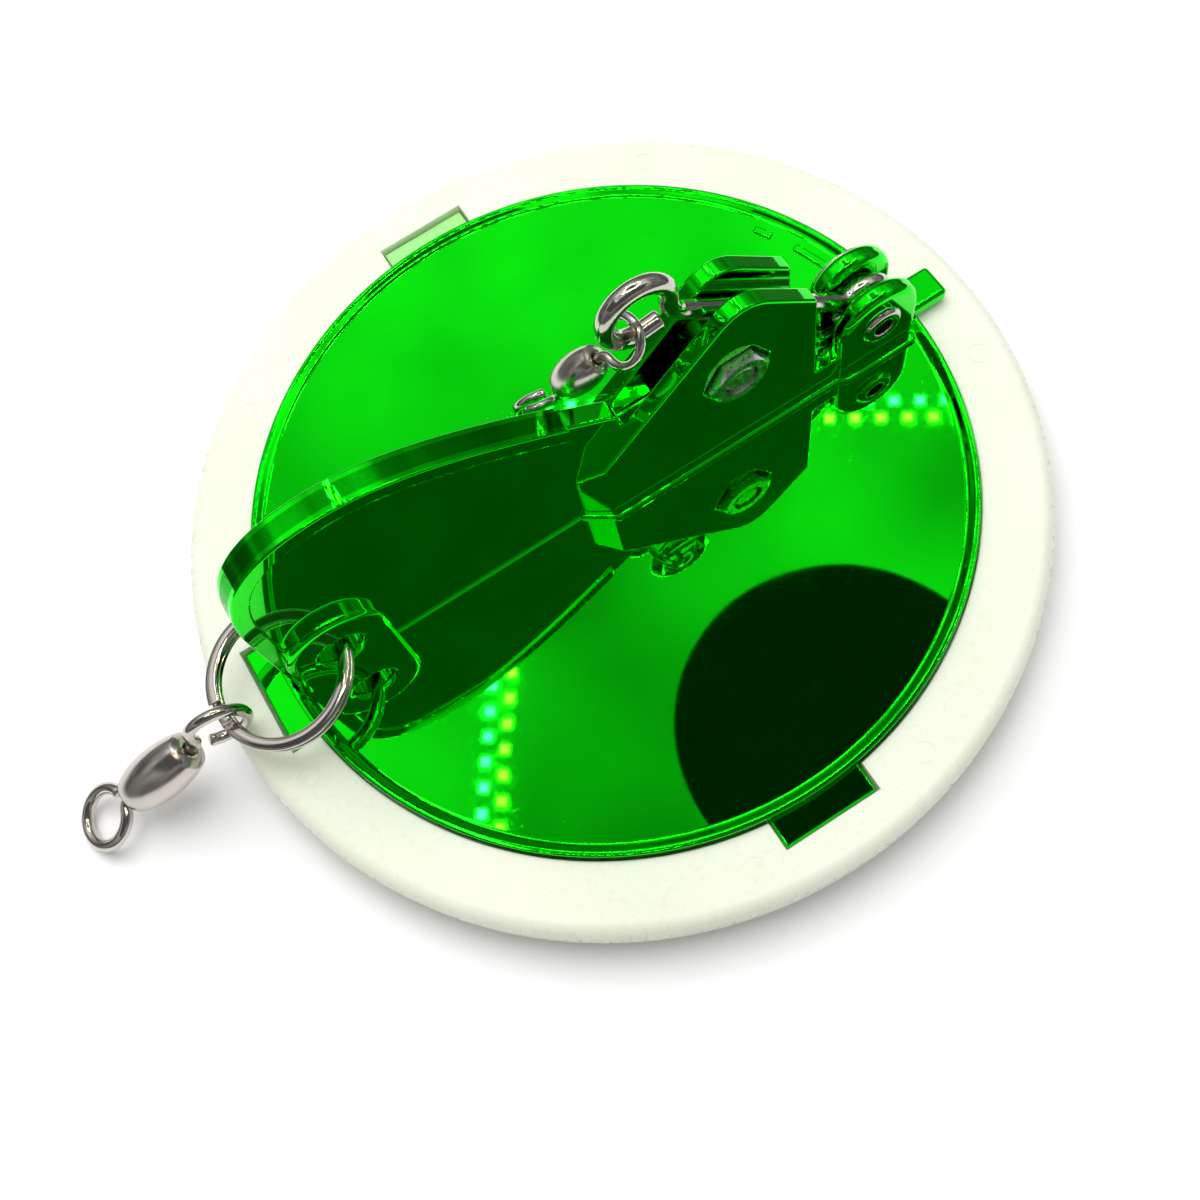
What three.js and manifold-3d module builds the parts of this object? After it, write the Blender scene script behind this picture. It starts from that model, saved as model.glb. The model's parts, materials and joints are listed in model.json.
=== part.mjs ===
// Directional trolling diver with a clip-on outer ring: a round planing disc with a keel fin, a wire
// release arm held between two cheeks, a split ring with a leader swivel, and a weighted base plate.
// Millimetres. +X points to the release end, +Z up; the object rests on its base plate at z = 0.
import * as THREE from 'three';
import { mergeVertices } from 'three/addons/utils/BufferGeometryUtils.js';
import Module from 'manifold-3d';

const wasm = await Module();
wasm.setup();

// ---------------------------------------------------------------- driving dimensions
const runningGap = 0.2;
const seatGap = 0.3;
const contactGap = 0.05;
const hookGap = 0.65;
const bondGap = 0.1;
const bury = 0.5;
const overshoot = 1;
const edgeBreak = 0.4;

const discRadius = 52.5;
const discThickness = 2.5;
const rimStand = 1.2;
const rimWidth = 1.3;
const rimEdge = 0.8;
const dishDepth = 0.7;
const skirtDepth = 2.2;
const skirtWidth = 2.4;
const skirtEdge = 0.2;

const ringWidth = 9.95;
const ringHeight = 5;
const ringEdgeRadius = 2;
const ringOuterWall = 1.9;
const ringChannelWidth = 2.6;
const ringChannelDepth = 2.6;

const tabReach = 3.7;
const tabWidth = 14;
const rearTabWidth = 17;
const tabThickness = 1.6;
const tabSink = 0.9;
const tabRoot = 2;
const lugReach = 5.4;
const lugWidth = 5.4;
const lugHeight = 2.5;
const lugRound = 1;

const platformHeight = 0.8;
const platformLip = 0.8;

const finHeight = 38.6;
const finRearInset = 1.5;
const finThickness = 3.4;
const finFlangeWidth = 4.6;
const finFlangeDepth = 2.4;
const finShoulderHeight = 21;
const finCrestBack = 8.8;
const finShoulderRise = 12.6;
const finShoulderReach = 11;
const finCrestReach = 12;
const finSlopeReach = 10;
const finSlopeRise = 6.6;
const finTuck = 1.5;
const finOverlap = 8.2;
const finFrontHeight = 20.4;

const bossRadius = 7.4;
const bossThickness = 7;
const bossHeight = 9;
const bossRearInset = 0.8;
const leaderHoleRadius = 3.2;
const leaderHoleHeight = 7.9;

const armWire = 2.6;
const armSlotWidth = 3.4;
const pivotInset = 8.5;
const pivotHeight = 8.8;
const rivetRadius = 2;
const rivetHeadRadius = 5.3;
const rivetHeadHeight = 1.1;
const rivetFlareRadius = 3.2;
const rivetFlareHeight = 0.6;
const rivetBoreRadius = 1.5;
const rivetBoreDepth = 5;
const armEyeInset = 34.1;
const armEyeHeight = 37.6;
const armEyeRadius = 4.45;
const armLoopBend = 2.5;
const armEyeBend = 4.5;
const armLoopGapAngle = 0.98;
const armEyeGapAngle = 0.73;
const armLegLength = 2.1;
const lineLinkAngle = 240;

const earRadius = 6.5;
const earThickness = 3.1;
const cheekThickness = 2.6;
const cheekLength = 37.4;
const cheekRearHeight = 10.6;
const cheekPeakBack = 11;
const cheekPeakHeight = 33.8;
const cheekPeakRound = 5;
const cheekEarGap = 4.3;
const cheekFrontHeight = 24;
const cheekBevelLength = 3.5;
const cheekNoseStep = 0.2;
const cheekFrontLean = 0.3;
const webHeight = 5.5;
const slotRearWall = 8.8;
const slotLedgeLength = 6.4;
const slotLedgeHeight = 15;
const slotFloorHeight = 3.2;

const screwBack = 12.6;
const screwHeight = 18.3;
const screwRadius = 2.45;
const screwHeadRadius = 4.4;
const screwHeadHeight = 2.7;
const screwSlotWidth = 1.2;
const screwSlotDepth = 1.3;
const screwHeadChamfer = 0.9;
const screwTipInset = 0.25;
const washerRadius = 5;
const washerThickness = 1;
const nutAcrossFlats = 8;
const nutThickness = 2.7;
const nutChamfer = 0.6;
const nutPocketDepth = 1.5;
const nutPocketClearance = 0.5;

const ringWireWidth = 1.9;
const ringWireThickness = 1;
const splitRingOverhang = 0.7;
const splitRingTurns = 1.96;
const splitRingTurnGap = 0.12;
const splitRingPlay = 0.6;
const hookLift = 0.8;
const splitRingYaw = 5;

const basePlateRadius = 29;
const basePlateThickness = 3;
const basePlateTabReach = 6;
const basePlateTabWidth = 13;
const basePlateTabRoot = 4;
const basePlateTabStep = 0.6;
const baseWasherThickness = 0.3;
const baseWasherRadius = 5.5;
const hubRadius = 7;
const baseScrewRadius = 1.95;
const baseScrewHeadRadius = 3.8;
const baseScrewHeadHeight = 1.5;
const baseScrewRecess = 0.25;
const baseScrewCrossReach = 2.2;
const baseScrewCrossWidth = 1;
const baseScrewCrossDepth = 0.9;
const insertRadius = 3;
const insertLength = 4.3;
const insertHeadroom = 0.3;
const ballastInnerRadius = 13.5;
const ballastOuterRadius = 27;
const ballastThickness = 2.5;
const ballastHalfAngle = 60;
const ballastRivetRadius = 1.45;
const ballastRivetHeadRadius = 2.5;
const ballastRivetHeadHeight = 0.9;
const ballastRivetAngle = 36;
const stiffenerRadius = 33;
const stiffenerWidth = 1.4;
const stiffenerHeight = 1.5;
const ribCount = 8;
const markInset = 4.6;
const markWidth = 1.2;
const markHeight = 0.35;

const lineSwivel = { wire: 1.3, eyeRadius: 2.45, barrelRadius: 2.7, barrelLength: 7.6, neck: 1.5 };
const leaderSwivel = { wire: 1.75, eyeRadius: 3.2, barrelRadius: 3.85, barrelLength: 12.5, neck: 1.6 };
const lineSwivelDirection = new THREE.Vector3(-0.62, 0.34, -0.71);
const leaderSwivelYaw = 5;

// ---------------------------------------------------------------- levels and places that follow
const ringBottomZ = basePlateThickness + 2 * seatGap;
const ringTopZ = ringBottomZ + ringHeight;
const rimTopZ = ringTopZ + rimStand;
const floorZ = rimTopZ - dishDepth;
const discUnderZ = floorZ - discThickness;
const skirtBottomZ = discUnderZ - skirtDepth;
const ringInnerRadius = discRadius + seatGap;
const ringOuterRadius = ringInnerRadius + ringWidth;
const finRearX = -(discRadius - finRearInset);
const leaderHoleX = finRearX + bossRadius + bossRearInset;
const finCrestX = leaderHoleX + finCrestBack;
const pivotX = discRadius - pivotInset;
const cheekFrontX = pivotX - earRadius - cheekEarGap;
const cheekRearX = cheekFrontX - cheekLength;
const cheekPeakX = cheekFrontX - cheekPeakBack;
const finFrontX = cheekRearX + finOverlap;
const slotRearX = cheekRearX + slotRearWall;
const slotLedgeX = slotRearX + slotLedgeLength;
const screwX = cheekFrontX - screwBack;
const armEyeX = pivotX - armEyeInset;
const tabTopZ = ringTopZ - tabSink;
const tabBottomZ = tabTopZ - tabThickness;
const notchFloorZ = tabBottomZ - seatGap;
const cheekFaceY = armSlotWidth / 2 + cheekThickness;
const earFaceY = armSlotWidth / 2 + earThickness;
const armLoopRadius = rivetRadius + runningGap + armWire / 2;
const pivot = new THREE.Vector3(pivotX, 0, floorZ + pivotHeight);
const armEye = new THREE.Vector3(armEyeX, 0, floorZ + armEyeHeight);
const screwCentre = new THREE.Vector3(screwX, 0, floorZ + screwHeight);
const leaderHole = new THREE.Vector3(leaderHoleX, 0, floorZ + leaderHoleHeight);
const splitRingRadius = (ringOuterRadius + leaderHoleX - splitRingOverhang) / 2;
const hookZ = ringTopZ + leaderSwivel.eyeRadius + leaderSwivel.wire + hookLift;
const nutSeatY = -(cheekFaceY - nutPocketDepth);
const screwHeadSeatY = cheekFaceY + contactGap + washerThickness + contactGap;
const hubBottomZ = basePlateThickness + 2 * contactGap + baseWasherThickness + contactGap;
const insertTopZ = hubBottomZ + contactGap + insertLength;
const ballastBottomZ = basePlateThickness + contactGap;
const ballastTopZ = ballastBottomZ + ballastThickness;
const ballastRivetSeat = ballastRivetHeadHeight + seatGap;
const ballastMidRadius = (ballastInnerRadius + ballastOuterRadius) / 2;

// ---------------------------------------------------------------- shape helpers
function solidOf(geometry) {
  const bare = geometry.clone();
  bare.deleteAttribute('normal');
  bare.deleteAttribute('uv');
  const merged = mergeVertices(bare, 1e-4);
  const vertProperties = new Float32Array(merged.attributes.position.array);
  const triVerts = new Uint32Array(merged.index.array);
  return new wasm.Manifold(new wasm.Mesh({ numProp: 3, vertProperties, triVerts }));
}

function geometryOf(solid) {
  const mesh = solid.getMesh();
  const geometry = new THREE.BufferGeometry();
  geometry.setAttribute('position', new THREE.BufferAttribute(mesh.vertProperties, 3));
  geometry.setIndex(new THREE.BufferAttribute(mesh.triVerts, 1));
  return geometry;
}

function union(geometries) {
  return geometries.map(solidOf).reduce((sum, solid) => sum.add(solid));
}

function cut(body, geometries) {
  return geometries.map(solidOf).reduce((rest, solid) => rest.subtract(solid), body);
}

// A plan outline in X and Y, extruded from one height to another.
function plate(shape, bottomZ, topZ, curveSegments = 12) {
  const options = { depth: topZ - bottomZ, bevelEnabled: false, curveSegments };
  return new THREE.ExtrudeGeometry(shape, options).translate(0, 0, bottomZ);
}

// A side outline in X and Z, extruded between two Y values.
function profile(shape, lowY, highY, curveSegments = 12) {
  const options = { depth: highY - lowY, bevelEnabled: false, curveSegments };
  return new THREE.ExtrudeGeometry(shape, options).rotateX(Math.PI / 2).translate(0, highY, 0);
}

// Radius and height pairs, turned about +Z.
function turned(points, segments) {
  const outline = points.map(([radius, height]) => new THREE.Vector2(radius, height));
  return new THREE.LatheGeometry(outline, segments).rotateX(Math.PI / 2);
}

// The same outline turned about +Y, its heights measured along Y.
function turnedAboutY(points, segments, x, z) {
  return turned(points, segments).rotateX(-Math.PI / 2).translate(x, 0, z);
}

function closed(points) {
  return [...points, points[0]];
}

function tubePoints(innerRadius, outerRadius, low, high) {
  return closed([[innerRadius, low], [outerRadius, low], [outerRadius, high], [innerRadius, high]]);
}

function cylinder(radius, low, high, segments) {
  return turned([[0, low], [radius, low], [radius, high], [0, high]], segments);
}

function rectangle(lowX, lowY, highX, highY) {
  const shape = new THREE.Shape();
  shape.moveTo(lowX, lowY);
  shape.lineTo(highX, lowY);
  shape.lineTo(highX, highY);
  shape.lineTo(lowX, highY);
  shape.closePath();
  return shape;
}

function polygon(points) {
  return new THREE.Shape(points.map(([x, y]) => new THREE.Vector2(x, y)));
}

// The points of one side followed by their mirror images across the XZ plane.
function mirrored(points) {
  return [...points, ...points.map(([x, y]) => [x, -y]).reverse()];
}

function circle(x, y, radius) {
  const shape = new THREE.Shape();
  shape.absarc(x, y, radius, 0, 2 * Math.PI, false);
  return shape;
}

function hexagon(x, y, acrossFlats) {
  const corner = acrossFlats / Math.sqrt(3);
  return polygon([0, 1, 2, 3, 4, 5].map((i) => {
    const turn = (i * Math.PI) / 3;
    return [x + corner * Math.cos(turn), y + corner * Math.sin(turn)];
  }));
}

// A wire of round section along a smooth path.
function wire(points, diameter, steps, sides = 8) {
  const section = new THREE.Shape();
  section.absarc(0, 0, diameter / 2, 0, 2 * Math.PI, false);
  const path = new THREE.CatmullRomCurve3(points, false, 'centripetal');
  const options = { steps, extrudePath: path, curveSegments: sides / 2, bevelEnabled: false };
  return new THREE.ExtrudeGeometry(section, options);
}

// Points of a round eye on the end of a straight shank that aims at the eye's centre: a fillet from
// the shank to the circle, then round the circle. Each is (along, across), with the shank at along > 0.
function centredEye(radius, bend, endGapAngle) {
  const along = Math.sqrt((radius + bend) ** 2 - bend ** 2);
  const entry = Math.atan2(bend, along);
  const points = [];
  const bendSteps = 3;
  for (let i = 0; i <= bendSteps; i += 1) {
    const angle = -Math.PI / 2 - (i / bendSteps) * (Math.PI / 2 - entry);
    points.push([along + bend * Math.cos(angle), bend + bend * Math.sin(angle)]);
  }
  const last = 2 * Math.PI - endGapAngle;
  const circleSteps = 14;
  for (let i = 1; i <= circleSteps; i += 1) {
    const angle = entry + (i / circleSteps) * (last - entry);
    points.push([radius * Math.cos(angle), radius * Math.sin(angle)]);
  }
  return points;
}

function mesh(name, geometry, look) {
  const material = new THREE.MeshStandardMaterial(look);
  const part = new THREE.Mesh(geometry, material);
  part.name = name;
  return part;
}

// ---------------------------------------------------------------- finishes
const greenPlating = { color: 0x00b400, roughness: 0.08, metalness: 1 };
const paleGlow = { color: 0xeef2e2, roughness: 0.4, metalness: 0 };
const nickel = { color: 0xc9c4bb, roughness: 0.2, metalness: 1 };
const satinNickel = { color: 0xbdb6ab, roughness: 0.35, metalness: 1 };
const steel = { color: 0xb4b4b4, roughness: 0.3, metalness: 1 };
const brass = { color: 0xc8a24a, roughness: 0.3, metalness: 1 };
const lead = { color: 0x6f7276, roughness: 0.6, metalness: 0.8 };

// ---------------------------------------------------------------- disc body
function discPlate() {
  const underRadius = discRadius - skirtWidth;
  return turned([
    [0, discUnderZ],
    [underRadius, discUnderZ],
    [underRadius, skirtBottomZ],
    [discRadius - skirtEdge, skirtBottomZ],
    [discRadius, skirtBottomZ + skirtEdge],
    [discRadius, rimTopZ - rimEdge],
    [discRadius - 0.25 * rimEdge, rimTopZ - 0.3 * rimEdge],
    [discRadius - rimEdge, rimTopZ],
    [discRadius - rimWidth, rimTopZ],
    [discRadius - rimWidth - dishDepth, floorZ],
    [0, floorZ],
  ], 96);
}

function tabOutlines(reach, clearance) {
  const inner = discRadius - tabRoot;
  const outer = discRadius + reach + clearance;
  const side = tabWidth / 2 + clearance;
  const rear = rearTabWidth / 2 + clearance;
  return [
    rectangle(-side, inner, side, outer),
    rectangle(-side, -outer, side, -inner),
    rectangle(-outer, -rear, -inner, rear),
  ];
}

function frontLug() {
  const outer = discRadius + lugReach;
  const half = lugWidth / 2;
  const shape = new THREE.Shape();
  shape.moveTo(pivotX, -half);
  shape.lineTo(outer - lugRound, -half);
  shape.absarc(outer - lugRound, -half + lugRound, lugRound, -Math.PI / 2, 0, false);
  shape.absarc(outer - lugRound, half - lugRound, lugRound, 0, Math.PI / 2, false);
  shape.lineTo(pivotX, half);
  shape.closePath();
  return plate(shape, ringTopZ + seatGap, ringTopZ + seatGap + lugHeight, 4);
}

function platform() {
  const cheekHalf = cheekFaceY + platformLip;
  const earHalf = earFaceY + platformLip + seatGap;
  const earRear = pivotX - earRadius;
  const right = [
    [cheekRearX - platformLip, -(finThickness + platformLip) / 2],
    [cheekRearX + cheekBevelLength, -cheekHalf],
    [earRear - platformLip, -cheekHalf],
    [earRear + platformLip, -earHalf],
    [pivotX + earRadius - platformLip / 2, -earHalf],
  ];
  return plate(polygon(mirrored(right)), floorZ - bury, floorZ + platformHeight);
}

// The fin's free edge, from the foot of its rear edge over the crest to its front end.
function finEdge() {
  const crestZ = floorZ + finHeight;
  const edge = new THREE.Path();
  const shoulderZ = floorZ + finShoulderHeight;
  const frontZ = floorZ + finFrontHeight;
  const slopeX = finFrontX - finSlopeReach;
  edge.moveTo(finRearX, floorZ - bury);
  edge.lineTo(finRearX, shoulderZ);
  const riseZ = shoulderZ + finShoulderRise;
  edge.bezierCurveTo(finRearX, riseZ, finCrestX - finShoulderReach, crestZ, finCrestX, crestZ);
  edge.bezierCurveTo(finCrestX + finCrestReach, crestZ, slopeX, frontZ + finSlopeRise, finFrontX, frontZ);
  return edge.getPoints(14);
}

function insetEdge(points, distance) {
  return points.map((point, i) => {
    const before = points[Math.max(i - 1, 0)];
    const after = points[Math.min(i + 1, points.length - 1)];
    const along = after.clone().sub(before).normalize();
    return new THREE.Vector2(point.x + along.y * distance, point.y - along.x * distance);
  });
}

function finOutline(points) {
  const last = points[points.length - 1];
  const foot = [
    new THREE.Vector2(last.x + finTuck, last.y - finTuck),
    new THREE.Vector2(last.x + finTuck, floorZ - bury),
  ];
  return new THREE.Shape([...points, ...foot].reverse());
}

function finSolid() {
  const edge = finEdge();
  const web = union([profile(finOutline(edge), -finThickness / 2, finThickness / 2)]);
  const flange = union([profile(finOutline(edge), -finFlangeWidth / 2, finFlangeWidth / 2)]);
  const inside = profile(finOutline(insetEdge(edge, finFlangeDepth)), -finFlangeWidth, finFlangeWidth);
  const trimPlan = rectangle(cheekRearX + finTuck, -finFlangeWidth, pivotX, finFlangeWidth);
  const frontTrim = plate(trimPlan, discUnderZ, floorZ + finHeight);
  return web.add(cut(flange, [inside, frontTrim]));
}

function leaderBoss() {
  const low = floorZ - bury;
  const shape = new THREE.Shape();
  shape.moveTo(leaderHoleX + bossRadius, low);
  shape.lineTo(leaderHoleX + bossRadius, floorZ + bossHeight);
  shape.absarc(leaderHoleX, floorZ + bossHeight, bossRadius, 0, Math.PI, false);
  shape.lineTo(leaderHoleX - bossRadius, low);
  shape.closePath();
  return profile(shape, -bossThickness / 2, bossThickness / 2, 9);
}

function cheekOutline() {
  const rear = new THREE.Vector2(cheekRearX, cheekRearHeight);
  const peak = new THREE.Vector2(cheekPeakX, cheekPeakHeight);
  const rearSlope = peak.clone().sub(rear).normalize();
  const frontSlope = new THREE.Vector2(cheekFrontX, cheekFrontHeight).sub(peak).normalize();
  const peakZ = floorZ + cheekPeakHeight;
  const shape = new THREE.Shape();
  shape.moveTo(cheekRearX, floorZ);
  shape.lineTo(pivotX, floorZ);
  shape.lineTo(pivotX, floorZ + webHeight);
  shape.lineTo(cheekFrontX + cheekFrontLean, floorZ + webHeight);
  shape.lineTo(cheekFrontX, floorZ + cheekFrontHeight);
  shape.lineTo(cheekPeakX + frontSlope.x * cheekPeakRound, peakZ + frontSlope.y * cheekPeakRound);
  shape.quadraticCurveTo(
    cheekPeakX,
    peakZ,
    cheekPeakX - rearSlope.x * cheekPeakRound,
    peakZ - rearSlope.y * cheekPeakRound,
  );
  shape.lineTo(cheekRearX, floorZ + cheekRearHeight);
  shape.closePath();
  return shape;
}

// Both cheeks as one block, with its rear end bevelled in plan down to the fin.
function cheekBlock() {
  const block = union([profile(cheekOutline(), -cheekFaceY, cheekFaceY, 6)]);
  const right = [
    [cheekRearX, -(finThickness / 2 + cheekNoseStep)],
    [cheekRearX + cheekBevelLength, -cheekFaceY],
    [pivotX + overshoot, -cheekFaceY],
  ];
  const plan = polygon(mirrored(right));
  return block.intersect(solidOf(plate(plan, discUnderZ, floorZ + cheekPeakHeight + overshoot)));
}

function earBlock() {
  const shape = new THREE.Shape();
  shape.moveTo(pivotX + earRadius, floorZ - bury);
  shape.lineTo(pivotX + earRadius, pivot.z);
  shape.absarc(pivotX, pivot.z, earRadius, 0, Math.PI, false);
  shape.lineTo(pivotX - earRadius, floorZ - bury);
  shape.closePath();
  return profile(shape, -earFaceY, earFaceY, 10);
}

// The arm's slot: deep between the ears and cheeks, with a raised ledge behind.
function armSlot() {
  const top = floorZ + armEyeHeight;
  const floor = floorZ + slotFloorHeight;
  const front = pivotX + earRadius + overshoot;
  const outline = [
    [slotLedgeX, floor],
    [front, floor],
    [front, top],
    [slotRearX, top],
    [slotRearX, floorZ + slotLedgeHeight],
    [slotLedgeX, floorZ + slotLedgeHeight],
  ];
  return profile(polygon(outline), -armSlotWidth / 2, armSlotWidth / 2);
}

// The gap between cheeks and ears is open right across above the web.
function earGap() {
  const side = rectangle(
    cheekFrontX + cheekFrontLean,
    floorZ + webHeight,
    pivotX - earRadius,
    floorZ + cheekPeakHeight,
  );
  return profile(side, -cheekFaceY - overshoot, cheekFaceY + overshoot);
}

function undersideRibs() {
  const low = discUnderZ - stiffenerHeight;
  const high = discUnderZ + bury;
  const outer = discRadius - skirtWidth + bury;
  const ring = turned(tubePoints(stiffenerRadius, stiffenerRadius + stiffenerWidth, low, high), 48);
  const ribs = [];
  for (let i = 0; i < ribCount; i += 1) {
    const plan = rectangle(stiffenerRadius + bury, -stiffenerWidth / 2, outer, stiffenerWidth / 2);
    ribs.push(plate(plan, low, high).rotateZ(((i + 0.5) * 2 * Math.PI) / ribCount));
  }
  return [ring, ...ribs];
}

// Two short raised bars near the rim, in place of lettering.
function rimMarks() {
  const inner = discRadius - markInset;
  return [{ angle: 28, length: 3 }, { angle: 18, length: 6 }].map(({ angle, length }) => {
    const bar = rectangle(inner, -length / 2, inner + markWidth, length / 2);
    return plate(bar, floorZ - bury, floorZ + markHeight).rotateZ((angle * Math.PI) / 180);
  });
}

function discBody() {
  const tabs = tabOutlines(tabReach, 0).map((shape) => plate(shape, tabBottomZ, tabTopZ));
  const hub = cylinder(hubRadius, hubBottomZ, discUnderZ + bury, 32);
  const details = [frontLug(), platform(), leaderBoss(), earBlock(), hub, ...undersideRibs(), ...rimMarks()];
  const body = union([discPlate(), ...tabs, ...details]).add(finSolid()).add(cheekBlock());
  const wide = discRadius;
  const pocket = profile(
    hexagon(screwX, screwCentre.z, nutAcrossFlats + 2 * nutPocketClearance),
    -wide,
    nutSeatY,
  );
  return geometryOf(cut(body, [
    armSlot(),
    earGap(),
    profile(circle(pivotX, pivot.z, rivetRadius + runningGap / 2), -wide, wide, 8),
    profile(circle(screwX, screwCentre.z, screwRadius + runningGap), -wide, wide, 8),
    profile(circle(leaderHoleX, leaderHole.z, leaderHoleRadius), -wide, wide, 8),
    pocket,
    cylinder(insertRadius + bondGap, hubBottomZ - overshoot, insertTopZ + bondGap, 24),
  ]));
}

// ---------------------------------------------------------------- clip-on ring
function outerRing() {
  const inner = ringInnerRadius;
  const outer = ringOuterRadius;
  const channelInner = outer - ringOuterWall - ringChannelWidth;
  const points = [
    [inner, ringBottomZ],
    [channelInner, ringBottomZ],
    [channelInner, ringBottomZ + ringChannelDepth],
    [channelInner + ringChannelWidth, ringBottomZ + ringChannelDepth],
    [channelInner + ringChannelWidth, ringBottomZ],
    [outer - edgeBreak, ringBottomZ],
    [outer, ringBottomZ + edgeBreak],
  ];
  const centreRadius = outer - ringEdgeRadius;
  const arcSteps = 4;
  for (let i = 0; i <= arcSteps; i += 1) {
    const angle = (i / arcSteps) * (Math.PI / 2);
    points.push([
      centreRadius + ringEdgeRadius * Math.cos(angle),
      ringTopZ - ringEdgeRadius + ringEdgeRadius * Math.sin(angle),
    ]);
  }
  points.push([inner, ringTopZ]);
  const above = ringTopZ + overshoot;
  const notches = tabOutlines(tabReach, seatGap).map((shape) => plate(shape, notchFloorZ, above));
  return geometryOf(cut(union([turned(closed(points), 96)]), notches));
}

// ---------------------------------------------------------------- release arm and its pivot
function releaseArm() {
  const toEye = armEye.clone().sub(pivot).normalize();
  const toPivot = toEye.clone().negate();
  const side = new THREE.Vector3(toEye.z, 0, -toEye.x);
  const span = armEye.distanceTo(pivot);
  const place = (centre, axis, [a, b]) => centre.clone().addScaledVector(axis, a).addScaledVector(side, b);
  const frontLoop = centredEye(armLoopRadius, armLoopBend, armLoopGapAngle).reverse();
  const rearEye = centredEye(armEyeRadius, armEyeBend, armEyeGapAngle);
  const [legX, legZ] = rearEye[rearEye.length - 1];
  const legAim = [-legZ / armEyeRadius, legX / armEyeRadius];
  for (const share of [0.5, 1]) {
    rearEye.push([legX + share * armLegLength * legAim[0], legZ + share * armLegLength * legAim[1]]);
  }
  const shankShares = [0.3, 0.5, 0.7];
  const shank = shankShares.map((share) => pivot.clone().addScaledVector(toEye, share * span));
  return wire([
    ...frontLoop.map((p) => place(pivot, toEye, p)),
    ...shank,
    ...rearEye.map((p) => place(armEye, toPivot, p)),
  ], armWire, 84);
}

function pivotRivet() {
  const headY = earFaceY + contactGap;
  const flareY = -(earFaceY + contactGap);
  return turnedAboutY([
    [0, flareY + rivetBoreDepth],
    [rivetBoreRadius, flareY + rivetBoreDepth],
    [rivetBoreRadius, flareY - rivetFlareHeight],
    [rivetFlareRadius - edgeBreak, flareY - rivetFlareHeight],
    [rivetFlareRadius, flareY],
    [rivetRadius, flareY],
    [rivetRadius, headY],
    [rivetHeadRadius, headY],
    [rivetHeadRadius, headY + 0.3 * rivetHeadHeight],
    [0.7 * rivetHeadRadius, headY + 0.85 * rivetHeadHeight],
    [0, headY + rivetHeadHeight],
  ], 28, pivotX, pivot.z);
}

// ---------------------------------------------------------------- tension screw, washer and nut
function tensionScrew() {
  const tipY = nutSeatY - contactGap - nutThickness + screwTipInset;
  const top = screwHeadSeatY + screwHeadHeight;
  const body = union([turnedAboutY([
    [0, tipY],
    [screwRadius - edgeBreak, tipY],
    [screwRadius, tipY + edgeBreak],
    [screwRadius, screwHeadSeatY],
    [screwHeadRadius, screwHeadSeatY],
    [screwHeadRadius, top - screwHeadChamfer],
    [screwHeadRadius - screwHeadChamfer, top],
    [0, top],
  ], 24, screwX, screwCentre.z)]);
  const half = screwSlotWidth / 2;
  const reach = screwHeadRadius + overshoot;
  const slot = profile(
    rectangle(screwX - reach, screwCentre.z - half, screwX + reach, screwCentre.z + half),
    top - screwSlotDepth,
    top + overshoot,
  );
  return geometryOf(cut(body, [slot]));
}

function tensionWasher() {
  const low = cheekFaceY + contactGap;
  const section = tubePoints(screwRadius + runningGap, washerRadius, low, low + washerThickness);
  return turnedAboutY(section, 24, screwX, screwCentre.z);
}

function tensionNut() {
  const inner = nutSeatY - contactGap;
  const outer = inner - nutThickness;
  const corner = nutAcrossFlats / Math.sqrt(3);
  const prism = union([profile(hexagon(screwX, screwCentre.z, nutAcrossFlats), outer, inner)]);
  const chamfer = turnedAboutY([
    [0, outer],
    [nutAcrossFlats / 2 - bondGap, outer],
    [corner + bondGap, outer + nutChamfer],
    [corner + bondGap, inner],
    [0, inner],
  ], 24, screwX, screwCentre.z);
  const hole = circle(screwX, screwCentre.z, screwRadius + runningGap / 2);
  const bore = profile(hole, outer - overshoot, inner + overshoot, 8);
  return geometryOf(cut(prism.intersect(solidOf(chamfer)), [bore]));
}

// ---------------------------------------------------------------- split ring
// Two close turns of flat wire, with the frames of a coil so that the section never twists.
class CoilCurve extends THREE.Curve {
  constructor(radius, turns, pitch) {
    super();
    Object.assign(this, { radius, turns, pitch });
  }

  getPoint(t, target = new THREE.Vector3()) {
    const angle = t * this.turns * 2 * Math.PI;
    const rise = (t - 0.5) * this.turns * this.pitch;
    return target.set(this.radius * Math.cos(angle), this.radius * Math.sin(angle), rise);
  }

  computeFrenetFrames(segments) {
    const frames = { tangents: [], normals: [], binormals: [] };
    for (let i = 0; i <= segments; i += 1) {
      const angle = (i / segments) * this.turns * 2 * Math.PI;
      const outward = new THREE.Vector3(Math.cos(angle), Math.sin(angle), 0);
      const tangent = new THREE.Vector3(-Math.sin(angle), Math.cos(angle), 0);
      frames.tangents.push(tangent);
      frames.normals.push(outward);
      frames.binormals.push(tangent.clone().cross(outward));
    }
    return frames;
  }
}

function splitRing() {
  const section = new THREE.Shape();
  const halfWidth = ringWireWidth / 2;
  const halfThickness = ringWireThickness / 2;
  section.absellipse(0, 0, halfWidth, halfThickness, 0, 2 * Math.PI, false, 0);
  const coil = new CoilCurve(splitRingRadius, splitRingTurns, ringWireThickness + splitRingTurnGap);
  const options = { steps: 60, extrudePath: coil, curveSegments: 4, bevelEnabled: false };
  return new THREE.ExtrudeGeometry(section, options);
}

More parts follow.
